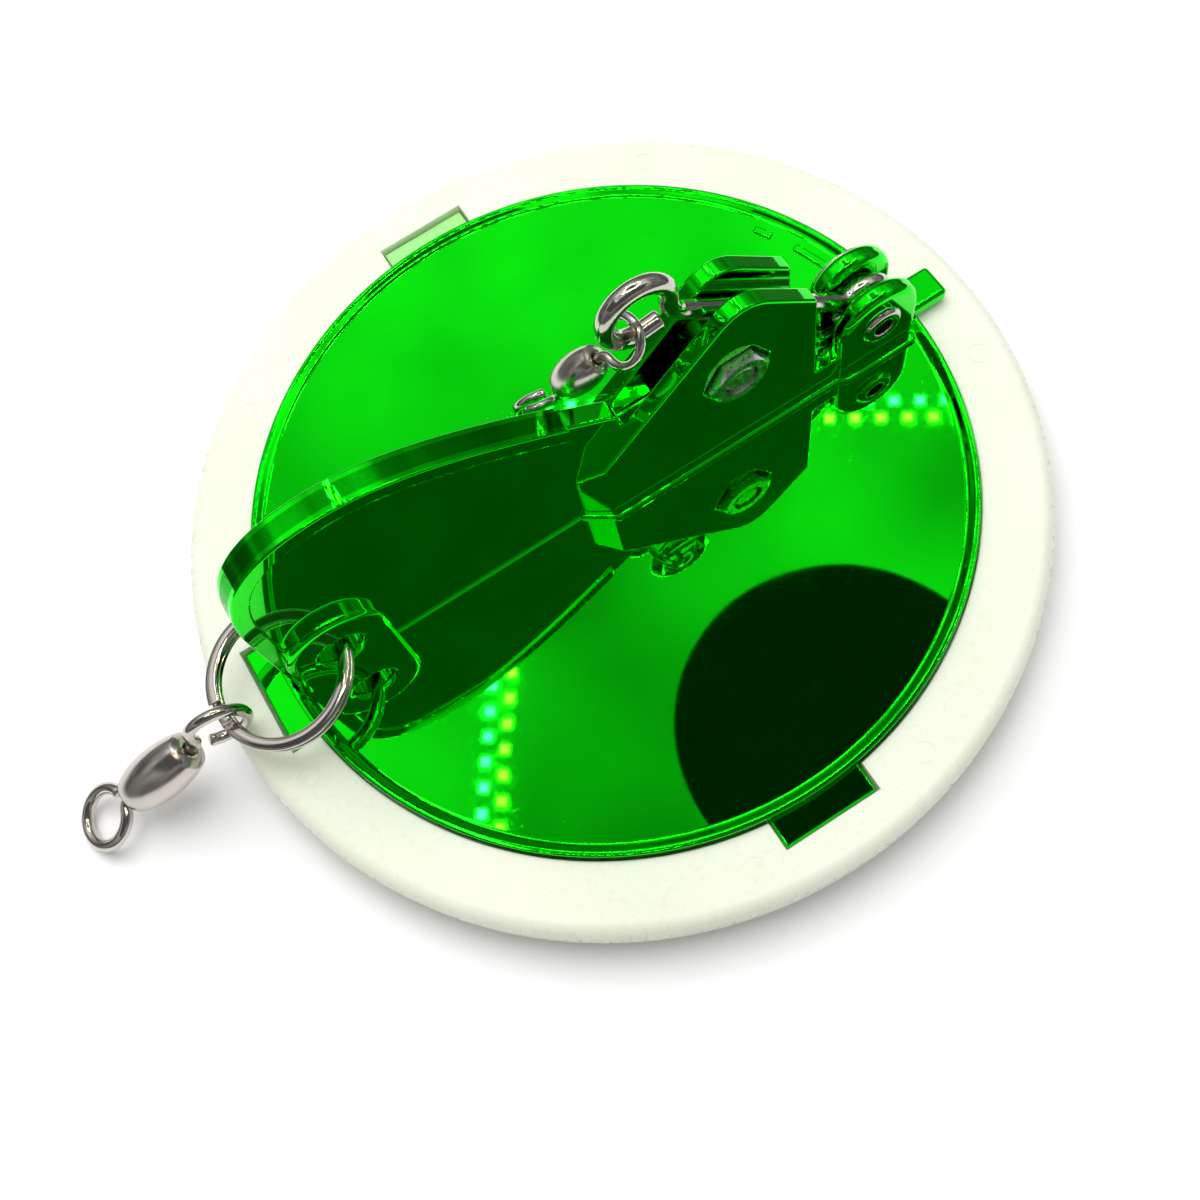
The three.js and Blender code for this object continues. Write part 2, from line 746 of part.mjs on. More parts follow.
// ---------------------------------------------------------------- swivels
// Drawn along +X from the wire that the upper eye hangs on; the upper eye lies in XZ, the lower one in XY.
function swivelLengths(size, hostRadius) {
  const loop = size.eyeRadius + size.wire / 2;
  const firstEye = size.eyeRadius - hostRadius - hookGap;
  const reach = Math.sqrt((loop + size.neck) ** 2 - size.neck ** 2);
  const barrelStart = firstEye + reach + 0.35 * size.wire;
  const barrelEnd = barrelStart + size.barrelLength;
  const lastEye = barrelEnd + reach + 0.35 * size.wire;
  return { loop, firstEye, barrelStart, barrelEnd, lastEye, tip: lastEye + loop + size.wire / 2 };
}

function swivelEye(size, lengths, first) {
  const wall = size.wire / 2;
  const headRadius = 0.95 * size.wire;
  const headLength = 0.7 * size.wire;
  const headStart = wall + runningGap;
  const sign = first ? 1 : -1;
  const centre = first ? lengths.firstEye : lengths.lastEye;
  const mouth = first ? lengths.barrelStart : lengths.barrelEnd;
  const inside = mouth + sign * (headStart + headLength / 2);
  const closeAngle = Math.asin(Math.min(0.95, (size.wire + contactGap * 3) / lengths.loop));
  const flat = centredEye(lengths.loop, size.neck, closeAngle);
  const points = [new THREE.Vector3(inside, 0, 0)];
  for (const [along, across] of flat) {
    const x = centre + sign * along;
    points.push(first ? new THREE.Vector3(x, 0, across) : new THREE.Vector3(x, across, 0));
  }
  const head = turned([[0, 0], [headRadius, 0], [headRadius, headLength], [0, headLength]], 16);
  head.rotateY((sign * Math.PI) / 2).translate(mouth + sign * headStart, 0, 0);
  return geometryOf(union([wire(points, size.wire, 40), head]));
}

function swivelBarrel(size, lengths) {
  const bore = size.wire / 2 + runningGap;
  const collar = size.wire / 2 + 0.32 * size.barrelRadius;
  const wall = size.wire / 2;
  const length = size.barrelLength;
  const cavity = size.barrelRadius - 0.28 * size.barrelRadius;
  const bellySteps = 8;
  const points = [[bore, 0], [collar, 0]];
  for (let i = 0; i <= bellySteps; i += 1) {
    const share = i / bellySteps;
    const swell = Math.sqrt(Math.sin(Math.PI * (0.06 + 0.88 * share)));
    points.push([collar + (size.barrelRadius - collar) * swell, 0.03 * length + 0.94 * length * share]);
  }
  points.push([collar, length], [bore, length], [bore, length - wall]);
  points.push([0.8 * cavity, length - wall], [cavity, length - 3 * wall]);
  points.push([cavity, 3 * wall], [0.8 * cavity, wall], [bore, wall]);
  return turned(closed(points), 24).rotateY(Math.PI / 2).translate(lengths.barrelStart, 0, 0);
}

function swivel(name, size, lengths, finish) {
  const group = new THREE.Group();
  group.add(mesh(`${name}_upper_eye`, swivelEye(size, lengths, true), nickel));
  group.add(mesh(`${name}_barrel`, swivelBarrel(size, lengths), finish));
  group.add(mesh(`${name}_lower_eye`, swivelEye(size, lengths, false), nickel));
  return group;
}

// Turns a group so that its X runs along a direction and its XZ plane holds a second one.
function aim(group, alongX, nearZ) {
  const x = alongX.clone().normalize();
  const y = nearZ.clone().cross(x).normalize();
  const z = x.clone().cross(y);
  group.quaternion.setFromRotationMatrix(new THREE.Matrix4().makeBasis(x, y, z));
}

// ---------------------------------------------------------------- base plate, ballast and centre screw
function basePlate() {
  const front = basePlateRadius + basePlateTabReach;
  const half = basePlateTabWidth / 2;
  const disc = turned([
    [0, 0],
    [basePlateRadius - edgeBreak, 0],
    [basePlateRadius, edgeBreak],
    [basePlateRadius, basePlateThickness],
    [0, basePlateThickness],
  ], 64);
  const tabPlan = rectangle(-front, -half, -basePlateRadius + basePlateTabRoot, half);
  const tab = plate(tabPlan, basePlateTabStep, basePlateThickness);
  const above = basePlateThickness + overshoot;
  const counterbore = baseScrewRecess + baseScrewHeadHeight + runningGap;
  const cuts = [
    cylinder(baseScrewHeadRadius + seatGap, -overshoot, counterbore, 24),
    cylinder(baseScrewRadius + runningGap, -overshoot, above, 20),
  ];
  for (const { x, y } of ballastRivetCentres()) {
    cuts.push(plate(circle(x, y, ballastRivetRadius + bondGap), -overshoot, above, 8));
    cuts.push(plate(circle(x, y, ballastRivetHeadRadius + seatGap), -overshoot, ballastRivetSeat, 8));
  }
  return geometryOf(cut(union([disc, tab]), cuts));
}

function ballastRivetCentres() {
  return [-1, 1].map((side) => {
    const angle = (side * ballastRivetAngle * Math.PI) / 180;
    return new THREE.Vector2(ballastMidRadius * Math.cos(angle), ballastMidRadius * Math.sin(angle));
  });
}

function ballastWeight() {
  const half = (ballastHalfAngle * Math.PI) / 180;
  const shape = new THREE.Shape();
  shape.absarc(0, 0, ballastOuterRadius, -half, half, false);
  shape.absarc(0, 0, ballastInnerRadius, half, -half, true);
  shape.closePath();
  const holes = ballastRivetCentres().map(({ x, y }) => {
    return plate(circle(x, y, ballastRivetRadius + bondGap), 0, ballastTopZ + overshoot, 8);
  });
  return geometryOf(cut(union([plate(shape, ballastBottomZ, ballastTopZ, 24)]), holes));
}

function ballastRivet(centre) {
  const headTop = ballastRivetSeat - contactGap;
  const upset = ballastTopZ + contactGap;
  return turned([
    [0, headTop - ballastRivetHeadHeight],
    [ballastRivetHeadRadius - edgeBreak, headTop - ballastRivetHeadHeight],
    [ballastRivetHeadRadius, headTop - edgeBreak],
    [ballastRivetHeadRadius, headTop],
    [ballastRivetRadius, headTop],
    [ballastRivetRadius, upset],
    [ballastRivetHeadRadius - edgeBreak, upset],
    [ballastRivetHeadRadius - 2 * edgeBreak, upset + edgeBreak],
    [0, upset + edgeBreak],
  ], 20).translate(centre.x, centre.y, 0);
}

function baseScrew() {
  const headTop = baseScrewRecess + baseScrewHeadHeight;
  const body = union([turned([
    [0, baseScrewRecess],
    [baseScrewHeadRadius - edgeBreak, baseScrewRecess],
    [baseScrewHeadRadius, baseScrewRecess + edgeBreak],
    [baseScrewHeadRadius, headTop],
    [baseScrewRadius, headTop],
    [baseScrewRadius, insertTopZ - insertHeadroom],
    [0, insertTopZ - insertHeadroom],
  ], 24)]);
  const reach = baseScrewCrossReach;
  const half = baseScrewCrossWidth / 2;
  const depth = baseScrewRecess + baseScrewCrossDepth;
  const cross = [
    plate(rectangle(-reach, -half, reach, half), -overshoot, depth),
    plate(rectangle(-half, -reach, half, reach), -overshoot, depth),
  ];
  return geometryOf(cut(body, cross));
}

function baseWasher() {
  const low = basePlateThickness + contactGap;
  const high = low + baseWasherThickness;
  return turned(tubePoints(baseScrewRadius + runningGap, baseWasherRadius, low, high), 24);
}

function threadedInsert() {
  const low = hubBottomZ + contactGap;
  return turned(tubePoints(baseScrewRadius + contactGap, insertRadius, low, insertTopZ), 24);
}

// ---------------------------------------------------------------- places of the hanging pieces
// A unit direction towards -X that dips by one angle and swings towards +Y by the other.
function rearwardAim(dip, swing) {
  const flat = Math.cos(dip);
  return new THREE.Vector3(-flat * Math.cos(swing), flat * Math.sin(swing), -Math.sin(dip));
}

function placeSplitRing(part) {
  const tilt = Math.asin((leaderHole.z - hookZ) / (2 * splitRingRadius));
  const yaw = (splitRingYaw * Math.PI) / 180;
  const rearward = rearwardAim(tilt, -yaw);
  const held = leaderHole.clone().add(new THREE.Vector3(splitRingPlay, 0, 0));
  part.position.copy(held).addScaledVector(rearward, splitRingRadius);
  aim(part, rearward, new THREE.Vector3(0, 0, 1));
  return held.addScaledVector(rearward, 2 * splitRingRadius);
}

function placeLeaderSwivel(group, lengths, hook) {
  const yaw = (leaderSwivelYaw * Math.PI) / 180;
  const drop = hook.z - leaderSwivel.wire / 2 - contactGap;
  const down = Math.asin(drop / lengths.tip);
  group.position.copy(hook);
  aim(group, rearwardAim(down, yaw), new THREE.Vector3(0, 0, 1));
}

function placeLineSwivel(group) {
  const angle = (lineLinkAngle * Math.PI) / 180;
  const radial = new THREE.Vector3(Math.cos(angle), 0, Math.sin(angle));
  const armTangent = new THREE.Vector3(radial.z, 0, -radial.x);
  group.position.copy(armEye).addScaledVector(radial, armEyeRadius);
  const along = lineSwivelDirection.clone().normalize();
  aim(group, along, armTangent.cross(along));
}

// ---------------------------------------------------------------- assembly
const assembly = new THREE.Group();
assembly.add(mesh('outer_ring', outerRing(), paleGlow));
assembly.add(mesh('disc_body', discBody(), greenPlating));
assembly.add(mesh('release_arm', releaseArm(), nickel));
assembly.add(mesh('pivot_rivet', pivotRivet(), nickel));
assembly.add(mesh('tension_screw', tensionScrew(), steel));
assembly.add(mesh('tension_washer', tensionWasher(), steel));
assembly.add(mesh('tension_nut', tensionNut(), steel));
assembly.add(mesh('base_plate', basePlate(), greenPlating));
assembly.add(mesh('ballast_weight', ballastWeight(), lead));
ballastRivetCentres().forEach((centre, i) => {
  assembly.add(mesh(`ballast_rivet_${i + 1}`, ballastRivet(centre), steel));
});
assembly.add(mesh('base_screw', baseScrew(), steel));
assembly.add(mesh('base_washer', baseWasher(), steel));
assembly.add(mesh('threaded_insert', threadedInsert(), brass));

const ring = mesh('split_ring', splitRing(), nickel);
const hook = placeSplitRing(ring);
assembly.add(ring);

const leaderLengths = swivelLengths(leaderSwivel, ringWireWidth / 2);
const leader = swivel('leader_swivel', leaderSwivel, leaderLengths, satinNickel);
placeLeaderSwivel(leader, leaderLengths, hook);
assembly.add(leader);

const lineLengths = swivelLengths(lineSwivel, armWire / 2);
const line = swivel('line_swivel', lineSwivel, lineLengths, satinNickel);
placeLineSwivel(line);
assembly.add(line);

// The row's origin is the bottom centre of the whole object.
const bounds = new THREE.Box3().setFromObject(assembly, true);
const middle = bounds.getCenter(new THREE.Vector3());
assembly.position.set(-middle.x, -middle.y, -bounds.min.z);

const diver = new THREE.Group();
diver.add(assembly);
export default diver;
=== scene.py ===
"""A trolling diver with a clip-on ring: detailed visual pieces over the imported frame, in a white studio."""
import json
import math

import bmesh
import bpy
from mathutils import Matrix, Vector


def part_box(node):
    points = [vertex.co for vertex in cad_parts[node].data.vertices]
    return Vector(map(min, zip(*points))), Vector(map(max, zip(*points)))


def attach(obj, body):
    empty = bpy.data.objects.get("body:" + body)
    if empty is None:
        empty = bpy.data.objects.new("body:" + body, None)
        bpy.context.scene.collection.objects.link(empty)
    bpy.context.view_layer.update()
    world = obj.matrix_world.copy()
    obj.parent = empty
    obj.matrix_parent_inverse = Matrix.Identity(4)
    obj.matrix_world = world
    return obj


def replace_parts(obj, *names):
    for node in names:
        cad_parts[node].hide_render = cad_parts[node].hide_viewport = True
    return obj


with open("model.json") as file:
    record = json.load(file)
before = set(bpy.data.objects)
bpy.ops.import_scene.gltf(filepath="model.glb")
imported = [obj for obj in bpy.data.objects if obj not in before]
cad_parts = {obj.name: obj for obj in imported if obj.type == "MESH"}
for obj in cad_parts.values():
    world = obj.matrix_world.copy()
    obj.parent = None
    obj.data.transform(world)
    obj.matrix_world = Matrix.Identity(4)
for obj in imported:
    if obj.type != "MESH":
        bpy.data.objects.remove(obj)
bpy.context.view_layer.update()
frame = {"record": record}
scene = bpy.context.scene
MM = 0.001


def centre_mm(node):
    low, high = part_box(node)
    return (Vector(low) + Vector(high)) / 2 / MM


def low_mm(node):
    return Vector(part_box(node)[0]) / MM


def high_mm(node):
    return Vector(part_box(node)[1]) / MM


# ---------------------------------------------------------------- places, all in millimetres
AXIS_X = centre_mm("outer_ring").x
DISC_R = 52.5
RING_BOTTOM = low_mm("outer_ring").z
RING_TOP = high_mm("outer_ring").z
RING_IN = DISC_R + 0.3
RING_OUT = (high_mm("outer_ring").y - low_mm("outer_ring").y) / 2
RIM_TOP = RING_TOP + 1.2
FLOOR = RIM_TOP - 0.7
UNDER = FLOOR - 2.5
SKIRT = UNDER - 2.2
FIN_REAR = -51.0
HOLE_X = FIN_REAR + 8.2
HOLE_H = 7.9
PIVOT_X = 44.0
PIVOT_H = 8.8
EAR_R = 6.5
CHEEK_FRONT = 33.2
CHEEK_REAR = -4.2
CHEEK_PEAK = (22.2, 33.8)
SLOT = 1.7
CHEEK_Y = 4.3
EAR_Y = 4.8
NUT_X = 20.6
NUT_H = 18.3
NUT_FLATS = 8.0
NUT_T = 2.7
POCKET = 1.5
WASHER_T = 1.0
GAP = 0.05
FIN_HALF = 1.7
RAIL_HALF = 2.1
SLOT_FLOOR = 3.2
TAB_HALF = 7
REAR_TAB_HALF = 8.5
TAB_REACH = DISC_R + 3.7
NOTCH_GAP = 0.3


def place(x, y, z):
    """A point given from the disc's axis, in millimetres, in the scene's metres."""
    return Vector(((x + AXIS_X) * MM, y * MM, z * MM))


# ---------------------------------------------------------------- camera
CAMERA_AZIMUTH, CAMERA_ELEVATION, CAMERA_ROLL = -13.13, 68.51, -19.86  # degrees
CAMERA_DISTANCE = 188.0
CAMERA_RIGHT, CAMERA_UP = -0.53, -15.94  # from the middle of the rim to the point that is aimed at
CAMERA_LENS = 39.35


def camera():
    """The camera as fitted to the photo."""
    az, el, roll = (math.radians(angle) for angle in (CAMERA_AZIMUTH, CAMERA_ELEVATION, CAMERA_ROLL))
    back = Vector((math.sin(az) * math.cos(el), -math.cos(az) * math.cos(el), math.sin(el)))
    right = (-back).cross(Vector((0, 0, 1))).normalized()
    up = right.cross(-back)
    side = math.cos(roll) * right + math.sin(roll) * up
    head = -math.sin(roll) * right + math.cos(roll) * up
    target = place(0, 0, RIM_TOP) + (CAMERA_RIGHT * MM) * side + (CAMERA_UP * MM) * head
    data = bpy.data.cameras.new("camera")
    data.sensor_width = 36
    data.lens = CAMERA_LENS
    data.clip_start = 0.01
    data.clip_end = 20
    obj = bpy.data.objects.new("camera", data)
    scene.collection.objects.link(obj)
    turn = Matrix((side, head, back)).transposed().to_4x4()
    obj.matrix_world = Matrix.Translation(target + back * (CAMERA_DISTANCE * MM)) @ turn
    scene.camera = obj
    return obj


CAM = camera()


# ---------------------------------------------------------------- material helpers
class Nodes:
    """One material's node tree, with short ways to add the nodes that the materials share."""

    def __init__(self, name):
        self.material = bpy.data.materials.new(name)
        self.material.use_nodes = True
        self.tree = self.material.node_tree
        self.shader = self.tree.nodes["Principled BSDF"]

    def add(self, kind, settings=None, **values):
        node = self.tree.nodes.new(kind)
        for key, value in (settings or {}).items():
            setattr(node, key, value)
        for key, value in values.items():
            node.inputs[key.replace("_", " ")].default_value = value
        return node

    def link(self, a, out, b, into):
        self.tree.links.new(a.outputs[out], b.inputs[into])

    def object_coords(self, scale):
        coords = self.add("ShaderNodeTexCoord")
        mapping = self.add("ShaderNodeMapping")
        mapping.inputs["Scale"].default_value = scale
        self.link(coords, "Object", mapping, "Vector")
        return mapping

    def noise(self, coords, scale, detail=3.0, rough=0.5):
        node = self.add("ShaderNodeTexNoise", Scale=scale, Detail=detail, Roughness=rough)
        self.link(coords, 0, node, "Vector")
        return node

    def ramp(self, source, out, stops):
        node = self.add("ShaderNodeValToRGB")
        elements = node.color_ramp.elements
        while len(elements) < len(stops):
            elements.new(0.5)
        for element, (at, colour) in zip(elements, stops):
            element.position = at
            element.color = (*colour, 1)
        self.link(source, out, node, "Fac")
        return node

    def range(self, source, out, low, high, to_low, to_high):
        node = self.add("ShaderNodeMapRange")
        for key, value in zip(("From Min", "From Max", "To Min", "To Max"), (low, high, to_low, to_high)):
            node.inputs[key].default_value = value
        self.link(source, out, node, "Value")
        return node

    def bump(self, source, out, strength, distance, after=None):
        node = self.add("ShaderNodeBump", Strength=strength, Distance=distance)
        self.link(source, out, node, "Height")
        if after:
            self.link(after, "Normal", node, "Normal")
        return node


def set_shader(shader, **values):
    for key, value in values.items():
        shader.inputs[key.replace("_", " ")].default_value = value


def plated_green():
    n = Nodes("plated_green")
    set_shader(n.shader, Metallic=1.0)
    coords = n.object_coords((1, 1, 1))
    tint = n.noise(coords, 60, 2)
    colour = n.ramp(tint, "Fac", [(0.35, (0.003, 0.80, 0.005)), (0.65, (0.004, 0.90, 0.006))])
    n.link(colour, "Color", n.shader, "Base Color")
    haze = n.noise(coords, 180, 4, 0.6)
    streak_coords = n.object_coords((1.0, 9.0, 1.0))
    streaks = n.noise(streak_coords, 700, 5, 0.7)
    rough = n.range(haze, "Fac", 0.3, 0.75, 0.01, 0.03)
    scratch = n.range(streaks, "Fac", 0.62, 0.72, 0.0, 0.10)
    total = n.add("ShaderNodeMath", {"operation": "ADD"})
    n.link(rough, 0, total, 0)
    n.link(scratch, 0, total, 1)
    n.link(total, 0, n.shader, "Roughness")
    swell = n.noise(coords, 35, 1.5, 0.4)
    wave = n.bump(swell, "Fac", 0.07, 0.0005)
    fine = n.bump(streaks, "Fac", 0.008, 0.00002, wave)
    n.link(fine, "Normal", n.shader, "Normal")
    return n.material


def glow_plastic(name, shade, base):
    n = Nodes(name)
    set_shader(n.shader, Metallic=0.0, IOR=1.49)
    n.shader.inputs["Subsurface Weight"].default_value = 0.35
    n.shader.inputs["Subsurface Radius"].default_value = (0.9, 1.0, 0.7)
    n.shader.inputs["Subsurface Scale"].default_value = 0.003
    coords = n.object_coords((1, 1, 1))
    cloud = n.noise(coords, 45, 3)
    colour = n.ramp(cloud, "Fac", [(0.3, shade), (0.7, base)])
    n.link(colour, "Color", n.shader, "Base Color")
    grain = n.noise(coords, 900, 3, 0.6)
    rough = n.range(grain, "Fac", 0.3, 0.7, 0.24, 0.36)
    n.link(rough, 0, n.shader, "Roughness")
    ripple = n.noise(coords, 120, 2)
    wave = n.bump(ripple, "Fac", 0.04, 0.0001)
    fine = n.bump(grain, "Fac", 0.012, 0.00002, wave)
    n.link(fine, "Normal", n.shader, "Normal")
    return n.material


def metal(name, base, shade, low, high, scale=500, relief=0.04):
    n = Nodes(name)
    set_shader(n.shader, Metallic=1.0)
    coords = n.object_coords((1, 1, 1))
    cloud = n.noise(coords, scale * 0.4, 3)
    colour = n.ramp(cloud, "Fac", [(0.3, shade), (0.7, base)])
    n.link(colour, "Color", n.shader, "Base Color")
    grain = n.noise(coords, scale * 3, 4, 0.65)
    rough = n.range(grain, "Fac", 0.3, 0.7, low, high)
    n.link(rough, 0, n.shader, "Roughness")
    bump = n.bump(grain, "Fac", relief, 0.00003)
    n.link(bump, "Normal", n.shader, "Normal")
    return n.material


GREEN = plated_green()
PALE = glow_plastic("glow_plastic", (0.80, 0.84, 0.69), (0.85, 0.88, 0.75))
# Painted light: the far tab is plated like the other tabs, and this pale green stands in for the bright glare
# on it.
PAINTED_GLARE = glow_plastic("painted_glare_green", (0.32, 0.76, 0.24), (0.40, 0.84, 0.30))
NICKEL = metal("bright_nickel", (0.68, 0.64, 0.59), (0.58, 0.55, 0.50), 0.07, 0.16, 200, 0.02)
SATIN = metal("satin_nickel", (0.66, 0.62, 0.57), (0.56, 0.53, 0.48), 0.16, 0.26, 160, 0.02)
STEEL = metal("plain_steel", (0.60, 0.60, 0.60), (0.48, 0.48, 0.48), 0.20, 0.38)
BRASS = metal("yellow_brass", (0.75, 0.55, 0.22), (0.62, 0.43, 0.16), 0.18, 0.34)
WEIGHT = metal("grey_weight", (0.30, 0.31, 0.32), (0.20, 0.21, 0.22), 0.45, 0.7)


# ---------------------------------------------------------------- mesh helpers
def new_piece(name, bm, material, body, smooth=True):
    bmesh.ops.remove_doubles(bm, verts=bm.verts, dist=1e-7)
    bmesh.ops.recalc_face_normals(bm, faces=bm.faces)
    mesh = bpy.data.meshes.new(name)
    bm.to_mesh(mesh)
    bm.free()
    for polygon in mesh.polygons:
        polygon.use_smooth = smooth
    mesh.materials.append(material)
    obj = bpy.data.objects.new(name, mesh)
    scene.collection.objects.link(obj)
    if body:
        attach(obj, body)
    return obj


def repaint(obj, material):
    obj.data.materials.clear()
    obj.data.materials.append(material)


def apply_all(obj):
    depsgraph = bpy.context.evaluated_depsgraph_get()
    mesh = bpy.data.meshes.new_from_object(obj.evaluated_get(depsgraph))
    old = obj.data
    obj.modifiers.clear()
    obj.data = mesh
    bpy.data.meshes.remove(old)
    return obj


def bevelled(obj, width, segments=3, angle=35, clamp=True):
    """Rounds the sharp edges and keeps the flat faces flat."""
    for polygon in obj.data.polygons:
        polygon.use_smooth = True
    mod = obj.modifiers.new("bevel", "BEVEL")
    mod.width = width * MM
    mod.segments = segments
    mod.limit_method = "ANGLE"
    mod.angle_limit = math.radians(angle)
    mod.harden_normals = True
    mod.use_clamp_overlap = clamp
    mod.miter_outer = "MITER_ARC"
    return apply_all(obj)


def lathe_bm(profile, segments, to_point):
    """Turns (radius, height) pairs about an axis; to_point maps (x, y, height) to the scene."""
    bm = bmesh.new()
    rings = []
    for radius, height in profile:
        if radius < 1e-6:
            rings.append([bm.verts.new(to_point(0, 0, height))])
            continue
        ring = []
        for i in range(segments):
            a = 2 * math.pi * i / segments
            ring.append(bm.verts.new(to_point(radius * math.cos(a), radius * math.sin(a), height)))
        rings.append(ring)
    for low, high in zip(rings, rings[1:]):
        for i in range(segments):
            j = (i + 1) % segments
            corners = [low[i % len(low)], low[j % len(low)], high[j % len(high)], high[i % len(high)]]
            corners = list(dict.fromkeys(corners))
            if len(corners) > 2:
                bm.faces.new(corners)
    return bm


def prism_bm(outline, low, high, to_point):
    """Extrudes a flat outline; to_point maps (u, v, w) to the scene."""
    bm = bmesh.new()
    bottom = [bm.verts.new(to_point(u, v, low)) for u, v in outline]
    top = [bm.verts.new(to_point(u, v, high)) for u, v in outline]
    bm.faces.new(bottom)
    bm.faces.new(top)
    for i in range(len(outline)):
        j = (i + 1) % len(outline)
        bm.faces.new((bottom[i], bottom[j], top[j], top[i]))
    return bm


def side_point(x, h, y):
    return place(x, y, FLOOR + h)


def plan_point(x, y, z):
    return place(x, y, z)


def boolean(obj, cutter, operation="DIFFERENCE"):
    mod = obj.modifiers.new("cut", "BOOLEAN")
    mod.operation = operation
    mod.solver = "EXACT"
    mod.object = cutter
    apply_all(obj)
    bpy.data.objects.remove(cutter, do_unlink=True)
    return obj


def raw(name, bm):
    """A piece that is still to be cut or bevelled, and rides on no body yet."""
    return new_piece(name, bm, GREEN, None, smooth=False)


def bezier(p0, p1, p2, p3, steps):
    points = []
    for i in range(steps + 1):
        t = i / steps
        s = 1 - t
        points.append(tuple(s**3 * a + 3 * s * s * t * b + 3 * s * t * t * c + t**3 * d
                            for a, b, c, d in zip(p0, p1, p2, p3)))
    return points


def arc(cx, cy, radius, start, end, steps):
    """Points along a circle, with its angles in degrees."""
    angles = [math.radians(start + (end - start) * i / steps) for i in range(steps + 1)]
    return [(cx + radius * math.cos(a), cy + radius * math.sin(a)) for a in angles]


DOME_RISE = 0.18
DOME_SHRINK = 0.86


def tube_bm(points, radius, sides):
    """A round wire along points given in scene metres, with slightly domed ends."""
    bm = bmesh.new()
    count = len(points)
    tangents = []
    for i in range(count):
        a, b = points[max(i - 1, 0)], points[min(i + 1, count - 1)]
        tangents.append((b - a).normalized())
    normal = tangents[0].orthogonal().normalized()
    rings = []
    for i, point in enumerate(points):
        if i:
            axis = tangents[i - 1].cross(tangents[i])
            if axis.length > 1e-9:
                angle = tangents[i - 1].angle(tangents[i])
                normal = Matrix.Rotation(angle, 3, axis.normalized()) @ normal
        other = tangents[i].cross(normal)
        rings.append([point + radius * (math.cos(t) * normal + math.sin(t) * other)
                      for t in (2 * math.pi * k / sides for k in range(sides))])
    ends = [(rings[0], -tangents[0], points[0]), (rings[-1], tangents[-1], points[-1])]
    caps = [[point + outward * (DOME_RISE * radius) + (p - point) * DOME_SHRINK for p in ring]
            for ring, outward, point in ends]
    rings = [caps[0]] + rings + [caps[1]]
    loops = [[bm.verts.new(p) for p in ring] for ring in rings]
    for a, b in zip(loops, loops[1:]):
        for k in range(sides):
            j = (k + 1) % sides
            bm.faces.new((a[k], a[j], b[j], b[k]))
    for loop in (loops[0], loops[-1]):
        centre = bm.verts.new(sum((v.co for v in loop), Vector()) / sides)
        for k in range(sides):
            bm.faces.new((loop[k], loop[(k + 1) % sides], centre))
    return bm


def mark_sharp(obj, angle=40):
    obj.data.set_sharp_from_angle(angle=math.radians(angle))
    return obj


# ---------------------------------------------------------------- plated disc body
def supported(profile, radius, steps=5):
    """Rounds a lathe profile's corners and adds a point just outside each bend, so flats shade flat."""
    points = [Vector(p) for p in profile]
    result = [tuple(points[0])]
    for before, point, after in zip(points, points[1:], points[2:]):
        a, b = before - point, after - point
        reach = min(radius, a.length * 0.4, b.length * 0.4)
        result.append(tuple(point + a.normalized() * min(reach * 1.2, reach + 0.1)))
        start, end = point + a.normalized() * reach, point + b.normalized() * reach
        for k in range(steps + 1):
            t = k / steps
            result.append(tuple((1 - t) ** 2 * start + 2 * t * (1 - t) * point + t**2 * end))
        result.append(tuple(point + b.normalized() * min(reach * 1.2, reach + 0.1)))
    result.append(tuple(points[-1]))
    return result


def disc_shell():
    skirt_in = 50.1
    profile = [(0, UNDER), (skirt_in, UNDER), (skirt_in, SKIRT), (DISC_R, SKIRT), (DISC_R, RIM_TOP),
               (DISC_R - 0.7, RIM_TOP), (DISC_R - 1.7, FLOOR), (0, FLOOR)]
    outline = supported(profile, 0.4)
    return new_piece("disc_shell", lathe_bm(outline, 512, plan_point), GREEN, "disc")


def fin_edge():
    """The fin's outline seen from the side, from its rear foot over the crest to the cheeks."""
    crest_x, crest = HOLE_X + 8.8, 38.6
    front_x, front_h = CHEEK_REAR + 8.2, 20.4
    edge = [(FIN_REAR, -1.0)]
    edge += bezier((FIN_REAR, 21), (FIN_REAR, crest - 5), (crest_x - 11, crest), (crest_x, crest), 28)
    before_front = (front_x - 10, front_h + 6.6)
    edge += bezier((crest_x, crest), (crest_x + 12, crest), before_front, (front_x, front_h), 28)[1:]
    return edge


def inset(points, distance):
    """The same open outline, moved sideways by a distance."""
    result = []
    for i, point in enumerate(points):
        a, b = Vector(points[max(i - 1, 0)]), Vector(points[min(i + 1, len(points) - 1)])
        along = (b - a).normalized()
        result.append((point[0] + along.y * distance, point[1] - along.x * distance))
    return result


def fin_piece():
    """The thin blade, the thicker rail along its edge and the fillet strip along its root."""
    edge = fin_edge()
    foot = [(edge[-1][0] + 1.0, -1.0)]
    web = raw("fin_blade", prism_bm(edge + foot, -FIN_HALF, FIN_HALF, side_point))
    bevelled(web, 0.5, 3, 40)
    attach(web, "disc")
    band = edge + list(reversed(inset(edge, 2.5)))
    rail = raw("fin_rail", prism_bm(band, -RAIL_HALF, RAIL_HALF, side_point))
    rear, front = CHEEK_REAR + 1.4, CHEEK_REAR + 20
    trim_box = [(rear, -3), (front, -3), (front, 60), (rear, 60)]
    boolean(rail, raw("trim", prism_bm(trim_box, -6, 6, side_point)))
    bevelled(rail, 1.0, 5, 40)
    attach(rail, "disc")
    root = [(-RAIL_HALF, -0.3), (RAIL_HALF, -0.3), (RAIL_HALF, 0.0),
            (FIN_HALF, 0.4), (-FIN_HALF, 0.4), (-RAIL_HALF, 0.0)]
    strip = prism_bm(root, -44.0, CHEEK_REAR + 2, lambda u, v, w: place(w, u, FLOOR + v))
    fillet = raw("fin_root", strip)
    bevelled(fillet, 0.12, 3, 20)
    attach(fillet, "disc")
    return [web, rail, fillet]


